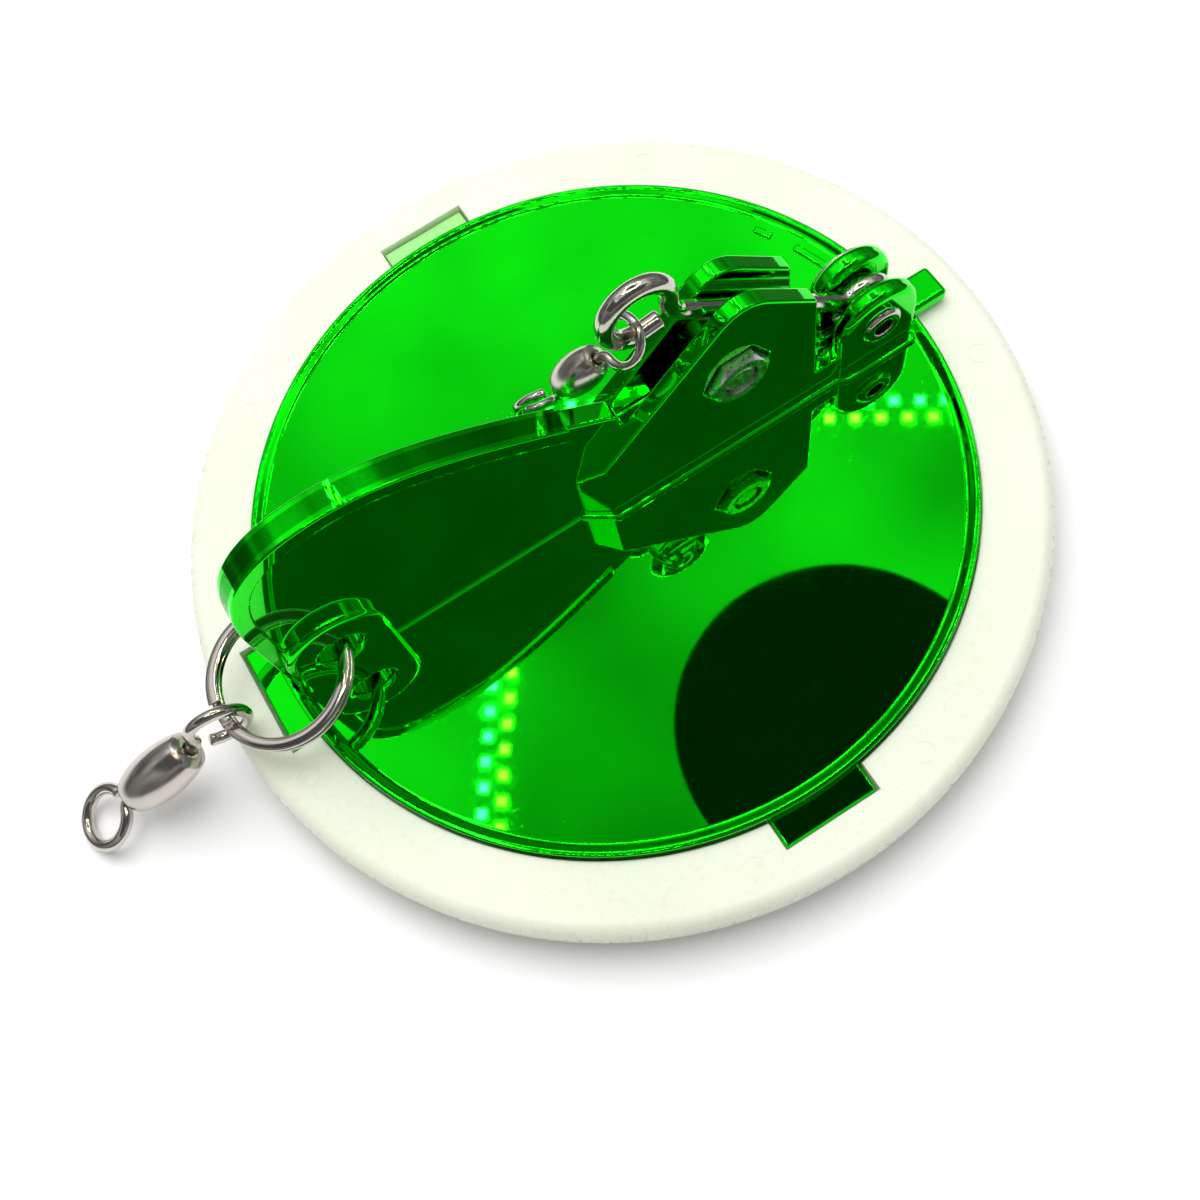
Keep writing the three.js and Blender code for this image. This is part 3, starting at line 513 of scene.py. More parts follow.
def boss_piece():
    top, r = 9.0, 7.4
    outline = [(HOLE_X + r, -1), (HOLE_X + r, top)]
    outline += arc(HOLE_X, top, r, 0, 180, 36)
    outline += [(HOLE_X - r, -1)]
    boss = raw("leader_boss", prism_bm(outline, -3.5, 3.5, side_point))
    hole = arc(HOLE_X, HOLE_H, 3.2, 0, 352.5, 47)
    boolean(boss, raw("bore", prism_bm(hole, -9, 9, side_point)))
    bevelled(boss, 1.0, 5, 40)
    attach(boss, "disc")
    return boss


def cheek_outline():
    peak = Vector(CHEEK_PEAK)
    rear, front = Vector((CHEEK_REAR, 10.6)), Vector((CHEEK_FRONT, 24.0))
    a, b = (rear - peak).normalized() * 5, (front - peak).normalized() * 5
    crown = []
    for k in range(9):
        t = k / 8
        crown.append(tuple((1 - t) ** 2 * (peak + b) + 2 * t * (1 - t) * peak + t**2 * (peak + a)))
    foot = [(CHEEK_REAR, -1), (PIVOT_X, -1), (PIVOT_X, 5.5), (CHEEK_FRONT + 0.3, 5.5)]
    return foot + [tuple(front)] + crown + [tuple(rear)]


def hexagon(x, h, flats):
    return arc(x, h, flats / math.sqrt(3), 0, 300, 5)


def cheeks_piece():
    block = raw("cheeks", prism_bm(cheek_outline(), -CHEEK_Y, CHEEK_Y, side_point))
    flank = CHEEK_REAR + 3.5
    plan = [(CHEEK_REAR, -1.9), (flank, -CHEEK_Y), (PIVOT_X + 1, -CHEEK_Y),
            (PIVOT_X + 1, CHEEK_Y), (flank, CHEEK_Y), (CHEEK_REAR, 1.9)]
    boolean(block, raw("plan", prism_bm(plan, FLOOR - 2, FLOOR + 40, plan_point)), "INTERSECT")
    ledge = CHEEK_REAR + 8.8
    step = ledge + 6.4
    slot = [(step, SLOT_FLOOR), (60, SLOT_FLOOR), (60, 60), (ledge, 60), (ledge, 15), (step, 15)]
    boolean(block, raw("slot", prism_bm(slot, -SLOT, SLOT, side_point)))
    pocket = hexagon(NUT_X, NUT_H, NUT_FLATS + 1)
    boolean(block, raw("pocket", prism_bm(pocket, -9, -CHEEK_Y + POCKET, side_point)))
    boolean(block, raw("screw_bore", prism_bm(arc(NUT_X, NUT_H, 2.65, 0, 350, 35), -9, 9, side_point)))
    bevelled(block, 0.4, 4, 30, False)
    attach(block, "disc")
    return block


def ears_piece():
    low = [(PIVOT_X + EAR_R, -0.5), (PIVOT_X + EAR_R, PIVOT_H)]
    outline = low + arc(PIVOT_X, PIVOT_H, EAR_R, 0, 180, 36) + [(PIVOT_X - EAR_R, -0.5)]
    ears = raw("pivot_ears", prism_bm(outline, -EAR_Y, EAR_Y, side_point))
    slot = [(30, SLOT_FLOOR), (60, SLOT_FLOOR), (60, 40), (30, 40)]
    boolean(ears, raw("slot", prism_bm(slot, -SLOT, SLOT, side_point)))
    boolean(ears, raw("bore", prism_bm(arc(PIVOT_X, PIVOT_H, 2.1, 0, 350, 35), -9, 9, side_point)))
    bevelled(ears, 1.2, 5, 40)
    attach(ears, "disc")
    return ears


def post_pieces():
    """The two small stubs that stand between each cheek and its ear."""
    x, y, radius = 35.4, 3.0, 1.2
    foot, top = FLOOR + 5.0, FLOOR + 7.6
    profile = supported([(0, foot), (radius, foot), (radius, top), (0, top)], 0.5)
    made = []
    for side in (-1, 1):
        bm = lathe_bm(profile, 40, lambda a, b, h, side=side: place(x + a, y * side + b, h))
        made.append(new_piece("stub_near" if side < 0 else "stub_far", bm, GREEN, "disc"))
    return made


def platform_piece():
    flank, ear_rear, front = CHEEK_REAR + 3.5, PIVOT_X - EAR_R + 0.8, PIVOT_X + EAR_R - 0.4
    half, ear_half = CHEEK_Y + 0.8, EAR_Y + 1.1
    right = [(CHEEK_REAR - 0.8, -RAIL_HALF), (flank, -half), (ear_rear - 1.6, -half),
             (ear_rear, -ear_half), (front, -ear_half)]
    outline = right + [(x, -y) for x, y in reversed(right)]
    step = raw("platform", prism_bm(outline, FLOOR - 0.5, FLOOR + 0.8, plan_point))
    bevelled(step, 0.4, 3, 30)
    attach(step, "disc")
    return step


def lug_piece():
    outer, half = DISC_R + 5.4, 2.7
    outline = [(PIVOT_X, -half), (outer, -half), (outer, half), (PIVOT_X, half)]
    lug = raw("front_lug", prism_bm(outline, RING_TOP + 0.3, RING_TOP + 2.8, plan_point))
    bevelled(lug, 0.8, 4, 40)
    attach(lug, "disc")
    return lug


def tab_pieces():
    inner, outer, rear_in = DISC_R - 2, TAB_REACH, DISC_R - 4
    half, rear_half = TAB_HALF, REAR_TAB_HALF
    boxes = {
        "tab_near": [(-half, -outer), (half, -outer), (half, -inner), (-half, -inner)],
        "tab_far": [(-half, inner), (half, inner), (half, outer), (-half, outer)],
        "tab_rear": [(-outer, -rear_half), (-rear_in, -rear_half),
                     (-rear_in, rear_half), (-outer, rear_half)],
    }
    made = []
    for name, outline in boxes.items():
        tab = raw(name, prism_bm(outline, RING_TOP - 2.5, RING_TOP - 0.9, plan_point))
        bevelled(tab, 0.35, 3, 40)
        # Only the far tab gets the pale green, which is painted glare over its plating.
        if name == "tab_far":
            repaint(tab, PAINTED_GLARE)
        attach(tab, "disc")
        made.append(tab)
    return made


def mark_pieces():
    """Two plain raised bars near the rim."""
    made = []
    for index, (angle, length) in enumerate(((28, 3.0), (18, 6.0))):
        a = math.radians(angle)
        out, along = Vector((math.cos(a), math.sin(a))), Vector((-math.sin(a), math.cos(a)))
        outline = []
        for s, t in ((-1, -1), (1, -1), (1, 1), (-1, 1)):
            p = out * (DISC_R - 4.0 + 0.6 * s) + along * (t * length / 2)
            outline.append((p.x, p.y))
        bar = raw(f"rim_mark_{index + 1}", prism_bm(outline, FLOOR - 0.3, FLOOR + 0.35, plan_point))
        bevelled(bar, 0.25, 3, 40)
        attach(bar, "disc")
        made.append(bar)
    return made


def underside_pieces():
    """The hub, the stiffening ring and the eight ribs, all sunk a little into the disc's underside."""
    foot, sunk, edge = low_mm("disc_body").z, UNDER + 0.4, UNDER - 1.5
    hub_r, ring_in, ring_out = 7, 33, 34.4
    hub = supported([(0, foot), (hub_r, foot), (hub_r, sunk), (0, sunk)], 0.4)
    made = [new_piece("hub", lathe_bm(hub, 64, plan_point), GREEN, "disc")]
    ring = [(ring_in, sunk), (ring_in, edge), (ring_out, edge), (ring_out, sunk), (ring_in, sunk)]
    made.append(new_piece("stiffening_ring", lathe_bm(supported(ring, 0.25), 160, plan_point), GREEN, "disc"))
    for i in range(8):
        a = 2 * math.pi * (i + 0.5) / 8
        out, along = Vector((math.cos(a), math.sin(a))), Vector((-math.sin(a), math.cos(a)))
        corners = ((33.6, -0.7), (50.6, -0.7), (50.6, 0.7), (33.6, 0.7))
        outline = [tuple(out * r + along * t) for r, t in corners]
        rib = raw(f"rib_{i + 1}", prism_bm(outline, edge, sunk, plan_point))
        bevelled(rib, 0.3, 2, 40)
        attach(rib, "disc")
        made.append(rib)
    return made


for maker in (disc_shell, boss_piece, cheeks_piece, ears_piece, platform_piece, lug_piece):
    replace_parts(maker(), "disc_body")
for maker in (fin_piece, post_pieces, tab_pieces, mark_pieces, underside_pieces):
    for made_piece in maker():
        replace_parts(made_piece, "disc_body")


# ---------------------------------------------------------------- clip-on ring
RING_CORNER = 2.1
PIN_CIRCLE = 57.6
PIN_MARKS = ((54.8, -12.3), (-11.6, -53.8), (-54.5, -12.8), (13.7, -52.4), (35, 45), (-38, 43))


def ring_profile():
    """The ring's section as (radius, height) pairs: a channel below and a round outer corner above."""
    inner, outer = RING_IN, RING_OUT
    channel_in, channel_out, channel_top = outer - 4.5, outer - 1.9, RING_BOTTOM + 2.6
    low = [(inner, RING_BOTTOM), (channel_in, RING_BOTTOM), (channel_in, channel_top),
           (channel_out, channel_top), (channel_out, RING_BOTTOM), (outer, RING_BOTTOM)]
    corner = arc(outer - RING_CORNER, RING_TOP - RING_CORNER, RING_CORNER, 0, 90, 9)
    profile = supported(low, 0.3)[:-1] + [(outer, RING_BOTTOM + 0.3)] + corner + [(outer - 2.4, RING_TOP)]
    profile += supported([(outer - 2.6, RING_TOP), (inner, RING_TOP), (inner, RING_BOTTOM)], 0.3)[1:]
    return profile + [profile[0]]


def cut_pin_mark(ring, index, x, y):
    """A shallow round groove in the ring's top, in the direction of (x, y) from the disc's axis."""
    r = PIN_CIRCLE / math.hypot(x, y)
    circle = arc(x * r, y * r, 1.6, 0, 345, 23)
    hollow = arc(x * r, y * r, 1.35, 0, 345, 23)
    groove = raw(f"pin_{index}", prism_bm(circle, RING_TOP - 0.08, RING_TOP + 0.5, plan_point))
    boolean(groove, raw(f"core_{index}", prism_bm(hollow, RING_TOP - 1, RING_TOP + 1, plan_point)))
    boolean(ring, groove)


def ring_piece():
    ring = raw("clip_ring", lathe_bm(ring_profile(), 384, plan_point))
    reach, inner = TAB_REACH + NOTCH_GAP, 48
    half, rear_half = TAB_HALF + NOTCH_GAP, REAR_TAB_HALF + NOTCH_GAP
    boxes = [[(-half, -reach), (half, -reach), (half, -inner), (-half, -inner)],
             [(-half, inner), (half, inner), (half, reach), (-half, reach)],
             [(-reach, -rear_half), (-inner, -rear_half), (-inner, rear_half), (-reach, rear_half)]]
    for i, outline in enumerate(boxes):
        boolean(ring, raw(f"notch_{i}", prism_bm(outline, RING_TOP - 2.8, RING_TOP + 2, plan_point)))
    for i, (x, y) in enumerate(PIN_MARKS):
        cut_pin_mark(ring, i, x, y)
    bevelled(ring, 0.22, 2, 50)
    repaint(ring, PALE)
    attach(ring, "ring")
    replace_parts(ring, "outer_ring")


ring_piece()


# ---------------------------------------------------------------- wire eyes and the release arm
def centred_eye(radius, bend, gap, bend_steps=14, circle_steps=72):
    """A round eye whose straight shank aims at its centre, as (along, across) pairs from the shank."""
    along = math.sqrt((radius + bend) ** 2 - bend**2)
    entry = math.atan2(bend, along)
    points = []
    for i in range(bend_steps + 1):
        a = -math.pi / 2 - (i / bend_steps) * (math.pi / 2 - entry)
        points.append((along + bend * math.cos(a), bend + bend * math.sin(a)))
    last = 2 * math.pi - gap
    for i in range(1, circle_steps + 1):
        a = entry + (i / circle_steps) * (last - entry)
        points.append((radius * math.cos(a), radius * math.sin(a)))
    return points


ARM_WIRE = 2.6
PIVOT = Vector((PIVOT_X, 0, FLOOR + PIVOT_H))
ARM_EYE = Vector((PIVOT_X - 34.1, 0, FLOOR + 37.6))
HOOK_R, HOOK_BEND, HOOK_GAP = 3.5, 2.5, 0.98
EYE_R, EYE_BEND, EYE_GAP = 4.45, 4.5, 0.73
EYE_LEG = 2.1


def arm_piece():
    """One wire: a hook round the rivet, a straight shank and an eye with a short straight end."""
    to_eye = (ARM_EYE - PIVOT).normalized()
    side = Vector((to_eye.z, 0, -to_eye.x))
    front = [PIVOT + to_eye * a + side * b for a, b in reversed(centred_eye(HOOK_R, HOOK_BEND, HOOK_GAP))]
    eye = centred_eye(EYE_R, EYE_BEND, EYE_GAP)
    last_along, last_across = eye[-1]
    for k in range(1, 7):
        step = EYE_LEG * k / 6 / EYE_R
        eye.append((last_along - last_across * step, last_across + last_along * step))
    rear = [ARM_EYE - to_eye * a + side * b for a, b in eye]
    shank = [front[-1].lerp(rear[0], k / 12) for k in range(1, 12)]
    points = [place(*p) for p in front + shank + rear]
    arm = new_piece("release_wire", tube_bm(points, ARM_WIRE / 2 * MM, 28), NICKEL, "arm")
    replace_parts(arm, "release_arm")


arm_piece()


def about_y(x, z):
    """Maps a lathe's points to an axis that runs across the diver."""
    return lambda a, b, height: place(x + a, height, z + b)


def turned_y(name, profile, x, z, material, body, round_radius=0.2, segments=64):
    bm = lathe_bm(supported(profile, round_radius), segments, about_y(x, z))
    return new_piece(name, bm, material, body)


def rivet_piece():
    """The arm's rivet: hollow and flared on the near side, with a domed head on the far side."""
    z = FLOOR + PIVOT_H
    near = [(0, -EAR_Y + 4), (1.5, -EAR_Y + 4), (1.5, -EAR_Y - 0.65),
            (2.7, -EAR_Y - 0.65), (3.2, -EAR_Y - GAP)]
    stem = [(2.0, -EAR_Y - GAP), (2.0, EAR_Y + GAP)]
    head = [(5.3, EAR_Y + GAP), (5.3, EAR_Y + 0.4), (3.7, EAR_Y + 1.0), (0, EAR_Y + 1.15)]
    profile = near + stem + head
    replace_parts(turned_y("pivot_pin", profile, PIVOT_X, z, NICKEL, "disc", 0.25), "pivot_rivet")


rivet_piece()


def screw_pieces():
    """The tension screw, the washer under its head and the nut in the near cheek's pocket."""
    z = FLOOR + NUT_H
    washer_foot, washer_top = CHEEK_Y + GAP, CHEEK_Y + GAP + WASHER_T
    seat = washer_top + GAP
    nut_seat = -(CHEEK_Y - POCKET)
    inner, outer = nut_seat - GAP, nut_seat - (GAP + NUT_T)
    tip = nut_seat - GAP - NUT_T + 0.25
    profile = [(0, tip), (1.95, tip), (2.45, tip + 0.5), (2.45, seat), (4.4, seat),
               (4.4, seat + 1.9), (3.4, seat + 2.7), (0, seat + 2.7)]
    screw = turned_y("slotted_screw", profile, NUT_X, z, STEEL, "screw", 0.3)
    slot = [(NUT_X - 6, z - 0.6), (NUT_X + 6, z - 0.6), (NUT_X + 6, z + 0.6), (NUT_X - 6, z + 0.6)]
    cutter = raw("slot", prism_bm(slot, seat + 1.4, seat + 5, lambda u, v, w: place(u, w, v)))
    boolean(screw, cutter)
    mark_sharp(screw, 35)
    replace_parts(screw, "tension_screw")
    ring = [(2.65, washer_foot), (5.0, washer_foot), (5.0, washer_top),
            (2.65, washer_top), (2.65, washer_foot)]
    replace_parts(turned_y("flat_washer", ring, NUT_X, z, STEEL, "washer", 0.15), "tension_washer")
    nut = raw("hex_nut", prism_bm(hexagon(NUT_X, NUT_H, NUT_FLATS), outer, inner, side_point))
    wide = NUT_FLATS / math.sqrt(3) + 0.3
    cone = [(0, outer), (3.85, outer), (wide, outer + 0.75), (wide, inner), (0, inner)]
    boolean(nut, raw("cone", lathe_bm(cone, 96, about_y(NUT_X, z))), "INTERSECT")
    boolean(nut, raw("bore", prism_bm(arc(NUT_X, NUT_H, 2.55, 0, 352.5, 47), -9, 9, side_point)))
    bevelled(nut, 0.14, 2, 25)
    repaint(nut, STEEL)
    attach(nut, "disc")
    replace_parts(nut, "tension_nut")


screw_pieces()


# ---------------------------------------------------------------- split ring
def joint(name):
    return next(j for j in frame["record"]["behaviour"]["joints"] if j["name"] == name)


def basis(along, near_z):
    """Three axes at right angles: x lies along a direction, and z is as close as can be to near_z."""
    x = Vector(along).normalized()
    y = Vector(near_z).cross(x).normalized()
    return x, y, x.cross(y)


def split_ring_piece():
    """A flat wire coiled nearly twice round, thinner towards its ends."""
    held, hook = Vector(joint("leader_ring_swing")["pos_m"]), Vector(joint("leader_link")["pos_m"])
    x, y, z = basis(hook - held, (0, 0, 1))
    radius = (hook - held).length / 2
    centre = (hook + held) / 2
    turns, pitch, steps, sides = 1.96, 1.12 * MM, 220, 20
    half_width, half_height, squareness = 0.93 * MM, 0.5 * MM, 0.85
    bm = bmesh.new()
    loops = []
    for i in range(steps + 1):
        t = i / steps
        a = t * turns * 2 * math.pi
        out = math.cos(a) * x + math.sin(a) * y
        middle = centre + out * radius + z * ((t - 0.5) * turns * pitch)
        taper = min(1.0, 0.55 + 6 * min(t, 1 - t))
        loop = []
        for k in range(sides):
            b = 2 * math.pi * k / sides
            cu = math.copysign(abs(math.cos(b)) ** squareness, math.cos(b))
            su = math.copysign(abs(math.sin(b)) ** squareness, math.sin(b))
            loop.append(bm.verts.new(middle + out * (half_width * cu) + z * (half_height * su * taper)))
        loops.append(loop)
    for a, b in zip(loops, loops[1:]):
        for k in range(sides):
            j = (k + 1) % sides
            bm.faces.new((a[k], a[j], b[j], b[k]))
    bm.faces.new(loops[0])
    bm.faces.new(loops[-1])
    ring = new_piece("coiled_ring", bm, NICKEL, "leader_ring")
    mark_sharp(ring, 60)
    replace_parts(ring, "split_ring")


split_ring_piece()


# ---------------------------------------------------------------- swivels
def swivel(name, size, hook, along, near_z, bodies, nodes):
    """Two wire eyes and the hollow barrel that both turn in; sizes are in millimetres."""
    wire, eye, belly, length, neck, host = size
    x, y, z = basis(along, near_z)
    loop = eye + wire / 2
    reach = math.sqrt((loop + neck) ** 2 - neck**2)
    first = eye - host - 0.65
    start = first + reach + 0.35 * wire
    end = start + length
    last = end + reach + 0.35 * wire
    gap = math.asin(min(0.95, (wire + 0.15) / loop))

    def at(a, b=0.0, c=0.0):
        return hook + (x * a + y * b + z * c) * MM

    for index, (centre, mouth, sign) in enumerate(((first, start, 1), (last, end, -1))):
        inside = mouth + sign * (wire / 2 + 0.2 + 0.35 * wire)
        path = [at(inside), at(inside + (centre + sign * reach - inside) * 0.5)]
        for a, b in centred_eye(loop, neck, gap):
            path.append(at(centre + sign * a, 0, b) if index == 0 else at(centre + sign * a, b, 0))
        bm = tube_bm(path, wire / 2 * MM, 24)
        head_start = mouth + sign * (wire / 2 + 0.2)
        head = supported([(0, 0), (0.95 * wire, 0), (0.95 * wire, 0.7 * wire), (0, 0.7 * wire)], 0.15)
        head_bm = lathe_bm(head, 32, lambda a, b, h: at(head_start + sign * h, a, b))
        eye_piece = new_piece(f"{name}_eye_{index + 1}", bm, NICKEL, bodies[index * 2])
        head_piece = new_piece(f"{name}_head_{index + 1}", head_bm, NICKEL, bodies[index * 2])
        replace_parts(eye_piece, nodes[index * 2])
        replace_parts(head_piece, nodes[index * 2])
    bore, wall = wire / 2 + 0.2, wire / 2
    collar = wire / 2 + 0.32 * belly
    profile = [(bore, wall), (bore, 0.12), (bore + 0.12, 0), (collar - 0.15, 0), (collar, 0.12)]
    steps = 36
    for i in range(steps + 1):
        share = i / steps
        swell = math.sqrt(math.sin(math.pi * (0.06 + 0.88 * share)))
        profile.append((collar + (belly - collar) * swell, (0.03 + 0.94 * share) * length))
    profile += [(collar, length - 0.12), (collar - 0.15, length), (bore + 0.12, length),
                (bore, length - 0.12), (bore, length - wall)]
    cavity = 0.72 * belly
    profile += [(0.8 * cavity, length - wall), (cavity, length - 3 * wall), (cavity, 3 * wall),
                (0.8 * cavity, wall), (bore, wall)]
    bm = lathe_bm(profile, 64, lambda a, b, h: at(start + h, a, b))
    barrel = new_piece(f"{name}_body", bm, SATIN, bodies[1])
    mark_sharp(barrel, 50)
    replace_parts(barrel, nodes[1])


# The wire's diameter, the eye's inner radius, the barrel's radius and length, the bend at the neck, and
# half the width of the wire that it hangs on.
LEADER_SIZE = (1.75, 3.2, 3.85, 12.5, 1.6, 0.95)
LINE_SIZE = (1.3, 2.45, 2.7, 7.6, 1.5, 1.3)
LEADER, LEADER_HOOK = joint("leader_barrel_spin"), Vector(joint("leader_link")["pos_m"])
LINE, LINE_LINK = joint("line_barrel_spin"), joint("line_link")
swivel("leader_swivel", LEADER_SIZE, LEADER_HOOK, LEADER["axis"], (0, 0, 1),
       ["leader_eye", "leader_barrel", "leader_end"],
       ["leader_swivel_upper_eye", "leader_swivel_barrel", "leader_swivel_lower_eye"])
swivel("line_swivel", LINE_SIZE, Vector(LINE_LINK["pos_m"]), LINE["axis"],
       (-Vector(LINE_LINK["axis"])).cross(Vector(LINE["axis"])),
       ["line_eye", "line_barrel", "line_end"],
       ["line_swivel_upper_eye", "line_swivel_barrel", "line_swivel_lower_eye"])


# ---------------------------------------------------------------- base plate, ballast and its fasteners
RIVET_ANGLE = math.radians(36)
RIVET_X, RIVET_Y = 20.25 * math.cos(RIVET_ANGLE), 20.25 * math.sin(RIVET_ANGLE)
RIVET_CENTRES = [(RIVET_X, -RIVET_Y), (RIVET_X, RIVET_Y)]
RIVET_BORE = 1.55
WEIGHT_FOOT, WEIGHT_TOP = 3.05, 5.55


def plate_piece():
    """The round plate with its rear pointer, a recess for the screw's head and a seat for each rivet."""
    outline = arc(0, 0, 29.0, -167, 167, 150)
    outline += [(-35, 6.5), (-35, -6.5)]
    plate = raw("turning_base", prism_bm(outline, 0, 3.0, plan_point))
    boolean(plate, raw("recess", prism_bm(arc(0, 0, 4.3, 0, 352.5, 47), -1, 1.95, plan_point)))
    boolean(plate, raw("bore", prism_bm(arc(0, 0, 2.15, 0, 350, 35), -1, 5, plan_point)))
    for x, y in RIVET_CENTRES:
        boolean(plate, raw("seat", prism_bm(arc(x, y, 2.8, 0, 350, 35), -1, 1.2, plan_point)))
        boolean(plate, raw("bore", prism_bm(arc(x, y, RIVET_BORE, 0, 350, 35), -1, 5, plan_point)))
    bevelled(plate, 0.4, 3, 40)
    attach(plate, "base")
    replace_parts(plate, "base_plate")


def weight_pieces():
    """The crescent of ballast and the two rivets that hold it."""
    weight_outline = arc(0, 0, 27, -60, 60, 60) + arc(0, 0, 13.5, 60, -60, 40)
    weight = raw("crescent_weight", prism_bm(weight_outline, WEIGHT_FOOT, WEIGHT_TOP, plan_point))
    for x, y in RIVET_CENTRES:
        boolean(weight, raw("bore", prism_bm(arc(x, y, RIVET_BORE, 0, 350, 35), 0, 9, plan_point)))
    bevelled(weight, 0.4, 3, 40)
    repaint(weight, WEIGHT)
    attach(weight, "base")
    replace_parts(weight, "ballast_weight")
    foot = [(0, 0.25), (2.5, 0.25), (2.5, 1.15), (1.45, 1.15)]
    head = [(1.45, 5.6), (2.2, 5.6), (1.8, 6.05), (0, 6.1)]
    for index, (x, y) in enumerate(RIVET_CENTRES):
        bm = lathe_bm(supported(foot + head, 0.3), 48, lambda a, b, h, x=x, y=y: place(x + a, y + b, h))
        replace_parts(new_piece(f"weight_rivet_{index + 1}", bm, STEEL, "base"), f"ballast_rivet_{index + 1}")


def centre_screw_pieces():
    """The cross-slotted screw that the plate turns on, its thin washer and its brass insert."""
    profile = supported([(0, 0.25), (3.8, 0.25), (3.8, 1.75), (1.95, 1.75), (1.95, 7.5), (0, 7.5)], 0.35)
    screw = raw("centre_screw", lathe_bm(profile, 64, plan_point))
    long, short = 2.2, 0.5
    for u, v in ((long, short), (short, long)):
        cross = [(-u, -v), (u, -v), (u, v), (-u, v)]
        boolean(screw, raw("cross", prism_bm(cross, -1, 1.15, plan_point)))
    repaint(screw, STEEL)
    for polygon in screw.data.polygons:
        polygon.use_smooth = True
    mark_sharp(screw, 35)
    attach(screw, "disc")
    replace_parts(screw, "base_screw")
    ring = supported([(2.15, 3.05), (5.5, 3.05), (5.5, 3.35), (2.15, 3.35), (2.15, 3.05)], 0.05)
    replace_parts(new_piece("thin_washer", lathe_bm(ring, 64, plan_point), STEEL, "disc"), "base_washer")
    sleeve = supported([(2.0, 3.5), (3.0, 3.5), (3.0, 7.8), (2.0, 7.8), (2.0, 3.5)], 0.1)
    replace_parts(new_piece("brass_sleeve", lathe_bm(sleeve, 64, plan_point), BRASS, "disc"), "threaded_insert")


plate_piece()
weight_pieces()
centre_screw_pieces()


# ---------------------------------------------------------------- studio
def studio_mesh(name, bm, material, camera_sees=False, light_sees=False):
    """A piece of the studio that shows in reflections, and otherwise only where it is asked to."""
    mesh = bpy.data.meshes.new(name)
    bm.to_mesh(mesh)
    bm.free()
    mesh.materials.append(material)
    obj = bpy.data.objects.new(name, mesh)
    scene.collection.objects.link(obj)
    obj.visible_camera = camera_sees
    obj.visible_diffuse = light_sees
    obj.visible_shadow = light_sees
    obj.visible_transmission = light_sees
    return obj


def plain(name, colour, strength=0.0):
    """A flat colour, or a plain glow of that colour where a strength is given."""
    material = bpy.data.materials.new(name)
    material.use_nodes = True
    shader = material.node_tree.nodes["Principled BSDF"]
    shader.inputs["Base Color"].default_value = (*colour, 1)
    shader.inputs["Roughness"].default_value = 0.8
    if strength:
        shader.inputs["Base Color"].default_value = (0, 0, 0, 1)
        shader.inputs["Specular IOR Level"].default_value = 0.0
        shader.inputs["Emission Color"].default_value = (*colour, 1)
        shader.inputs["Emission Strength"].default_value = strength
    return material


FLOOR_Z = -0.00003  # metres, a hair below the base plate


def floor():
    """White paper whose near part alone shows in reflections, and a wall that only the camera sees."""
    material = plain("paper", (0.93, 0.93, 0.93))
    near, far, sides = 0.2, 2.0, 96
    turns = [2 * math.pi * k / sides for k in range(sides)]
    bm = bmesh.new()
    bm.faces.new([bm.verts.new((near * math.cos(a), near * math.sin(a), FLOOR_Z)) for a in turns])
    studio_mesh("floor_near", bm, material, True, True)
    bm = bmesh.new()
    inner, outer = ([bm.verts.new((r * math.cos(a), r * math.sin(a), FLOOR_Z)) for a in turns]
                    for r in (near, far))
    for k in range(sides):
        j = (k + 1) % sides
        bm.faces.new((inner[k], outer[k], outer[j], inner[j]))
    around = studio_mesh("floor_far", bm, material, True, True)
    around.visible_glossy = False
    bm = bmesh.new()
    foot, head = ([bm.verts.new((far * math.cos(a), far * math.sin(a), z)) for a in turns] for z in (0, far))
    for k in range(sides):
        j = (k + 1) % sides
        bm.faces.new((foot[k], foot[j], head[j], head[k]))
    wall = studio_mesh("backdrop", bm, plain("backdrop", (0.80, 0.80, 0.80), 1.0), True)
    wall.visible_glossy = False


def flat_card(name, points, material):
    bm = bmesh.new()
    bm.faces.new([bm.verts.new(p) for p in points])
    return studio_mesh(name, bm, material)


ROOF_H = 600
ROOF_X, ROOF_Y = 122, 66
ROOF_TURN = math.radians(55.6)
OPENING_R = 100


def roof_frame():
    """A light box's roof: a dark round opening, and warm and cool lamps along the four sides around it."""
    black = plain("opening", (0.012, 0.012, 0.012))
    circle = arc(ROOF_X, ROOF_Y, OPENING_R, 0, 355, 71)
    flat_card("roof_opening", [place(x, y, ROOF_H) for x, y in circle], black)
    lamps = [plain("warm_lamp", (1.0, 0.55, 0.06), 130.0), plain("cool_lamp", (0.25, 0.55, 1.0), 110.0)]
    a = Vector((math.cos(ROOF_TURN), math.sin(ROOF_TURN)))
    b = Vector((math.sin(ROOF_TURN), -math.cos(ROOF_TURN)))
    half, count, size, stagger = 200, 25, 3.0, 12
    square = ((-1, -1), (1, -1), (1, 1), (-1, 1))
    rows = [bmesh.new(), bmesh.new()]
    for sign, (along, across) in ((1, (a, b)), (-1, (a, b)), (1, (b, a)), (-1, (b, a))):
        for k in range(2 * count):
            step = half * ((k + 0.5) / count - 1)
            out = half + stagger * (k % 2)
            centre = Vector((ROOF_X, ROOF_Y)) + along * step + across * (out * sign)
            corners = [centre + along * (size * s) + across * (size * t) for s, t in square]
            bm = rows[k % 2]
            bm.faces.new([bm.verts.new(place(c.x, c.y, ROOF_H - 2)) for c in corners])
    for name, bm, lamp in zip(("warm_lamps", "cool_lamps"), rows, lamps):
        studio_mesh(name, bm, lamp)


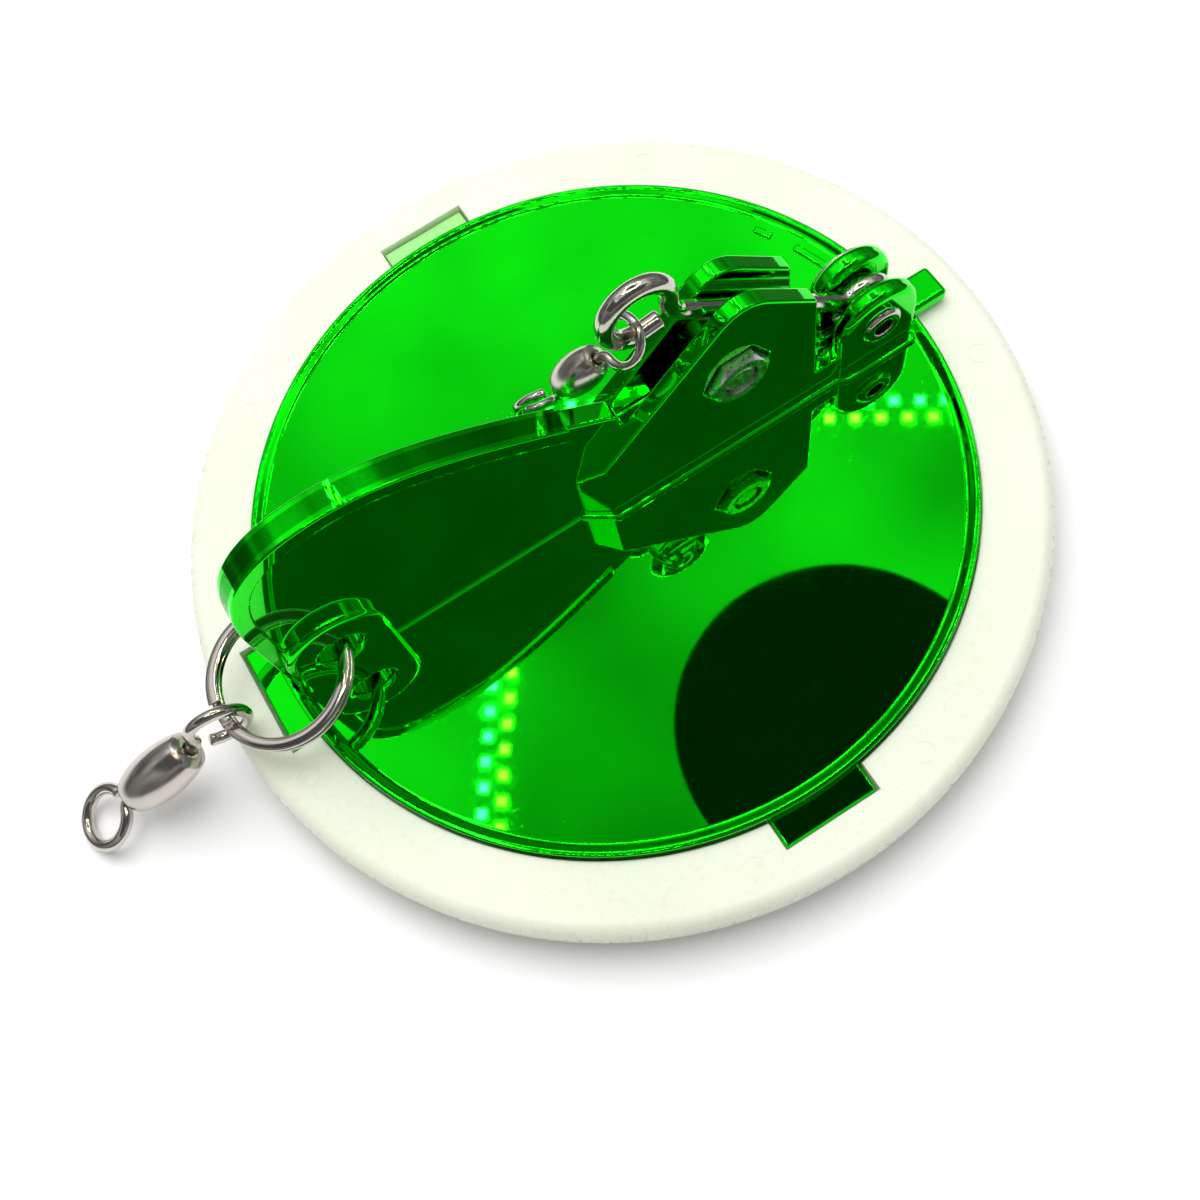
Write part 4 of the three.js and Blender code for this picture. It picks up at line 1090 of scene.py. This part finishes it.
def photographer():
    """The dark shape just behind the lens, which shows in the disc, the fin and the cheeks."""
    dark = plain("behind_lens", (1.0, 1.0, 1.0), 0.08)
    height = CAM.matrix_world.translation.z / MM + 8
    outline = ((-300, -260), (160, -260), (160, -56), (-98, -56), (-98, 60), (-300, 60))
    flat_card("behind_lens", [place(x, y, height) for x, y in outline], dark)


WORLD_LEVELS = ((0.0, 0.15), (0.4, 0.26), (0.64, 0.62), (0.76, 1.0), (0.9, 0.85), (1.0, 0.5))
WORLD_STRENGTH = 1.05
LEVEL_BLUE = 0.985


def white_box():
    """The light box all round: its brightness goes by height, with a soft cloud over it."""
    world = bpy.data.worlds.new("white_box")
    scene.world = world
    world.use_nodes = True
    tree = world.node_tree
    coords = tree.nodes.new("ShaderNodeTexCoord")
    height = tree.nodes.new("ShaderNodeSeparateXYZ")
    ramp = tree.nodes.new("ShaderNodeValToRGB")
    elements = ramp.color_ramp.elements
    while len(elements) < len(WORLD_LEVELS):
        elements.new(0.5)
    for element, (at, level) in zip(elements, WORLD_LEVELS):
        element.position = at
        element.color = (level, level, LEVEL_BLUE * level, 1)
    tree.links.new(coords.outputs["Generated"], height.inputs["Vector"])
    tree.links.new(height.outputs["Z"], ramp.inputs["Fac"])
    cloud = tree.nodes.new("ShaderNodeTexNoise")
    cloud.inputs["Scale"].default_value = 2.6
    cloud.inputs["Detail"].default_value = 2.0
    share = tree.nodes.new("ShaderNodeMapRange")
    for key, value in zip(("From Min", "From Max", "To Min", "To Max"), (0.38, 0.56, 0.4, 1.05)):
        share.inputs[key].default_value = value
    mix = tree.nodes.new("ShaderNodeVectorMath")
    mix.operation = "SCALE"
    tree.links.new(coords.outputs["Generated"], cloud.inputs["Vector"])
    tree.links.new(cloud.outputs["Fac"], share.inputs["Value"])
    tree.links.new(ramp.outputs["Color"], mix.inputs[0])
    tree.links.new(share.outputs["Result"], mix.inputs["Scale"])
    tree.links.new(mix.outputs["Vector"], tree.nodes["Background"].inputs["Color"])
    tree.nodes["Background"].inputs["Strength"].default_value = WORLD_STRENGTH


def panels():
    """Two soft lamps that light the diver without showing in its plating."""
    for name, energy, size, spot, aim in (
        ("top_panel", 2.9, 0.5, place(60, 160, 620), place(0, 0, 0)),
        ("rear_panel", 0.7, 0.4, place(-150, 420, 420), place(0, 0, 10)),
    ):
        data = bpy.data.lights.new(name, "AREA")
        data.energy = energy
        data.size = size
        obj = bpy.data.objects.new(name, data)
        scene.collection.objects.link(obj)
        obj.visible_glossy = False
        direction = (aim - spot).normalized()
        obj.matrix_world = Matrix.Translation(spot) @ direction.to_track_quat("-Z", "Y").to_matrix().to_4x4()


floor()
roof_frame()
photographer()
white_box()
panels()
scene.view_settings.view_transform = "Standard"
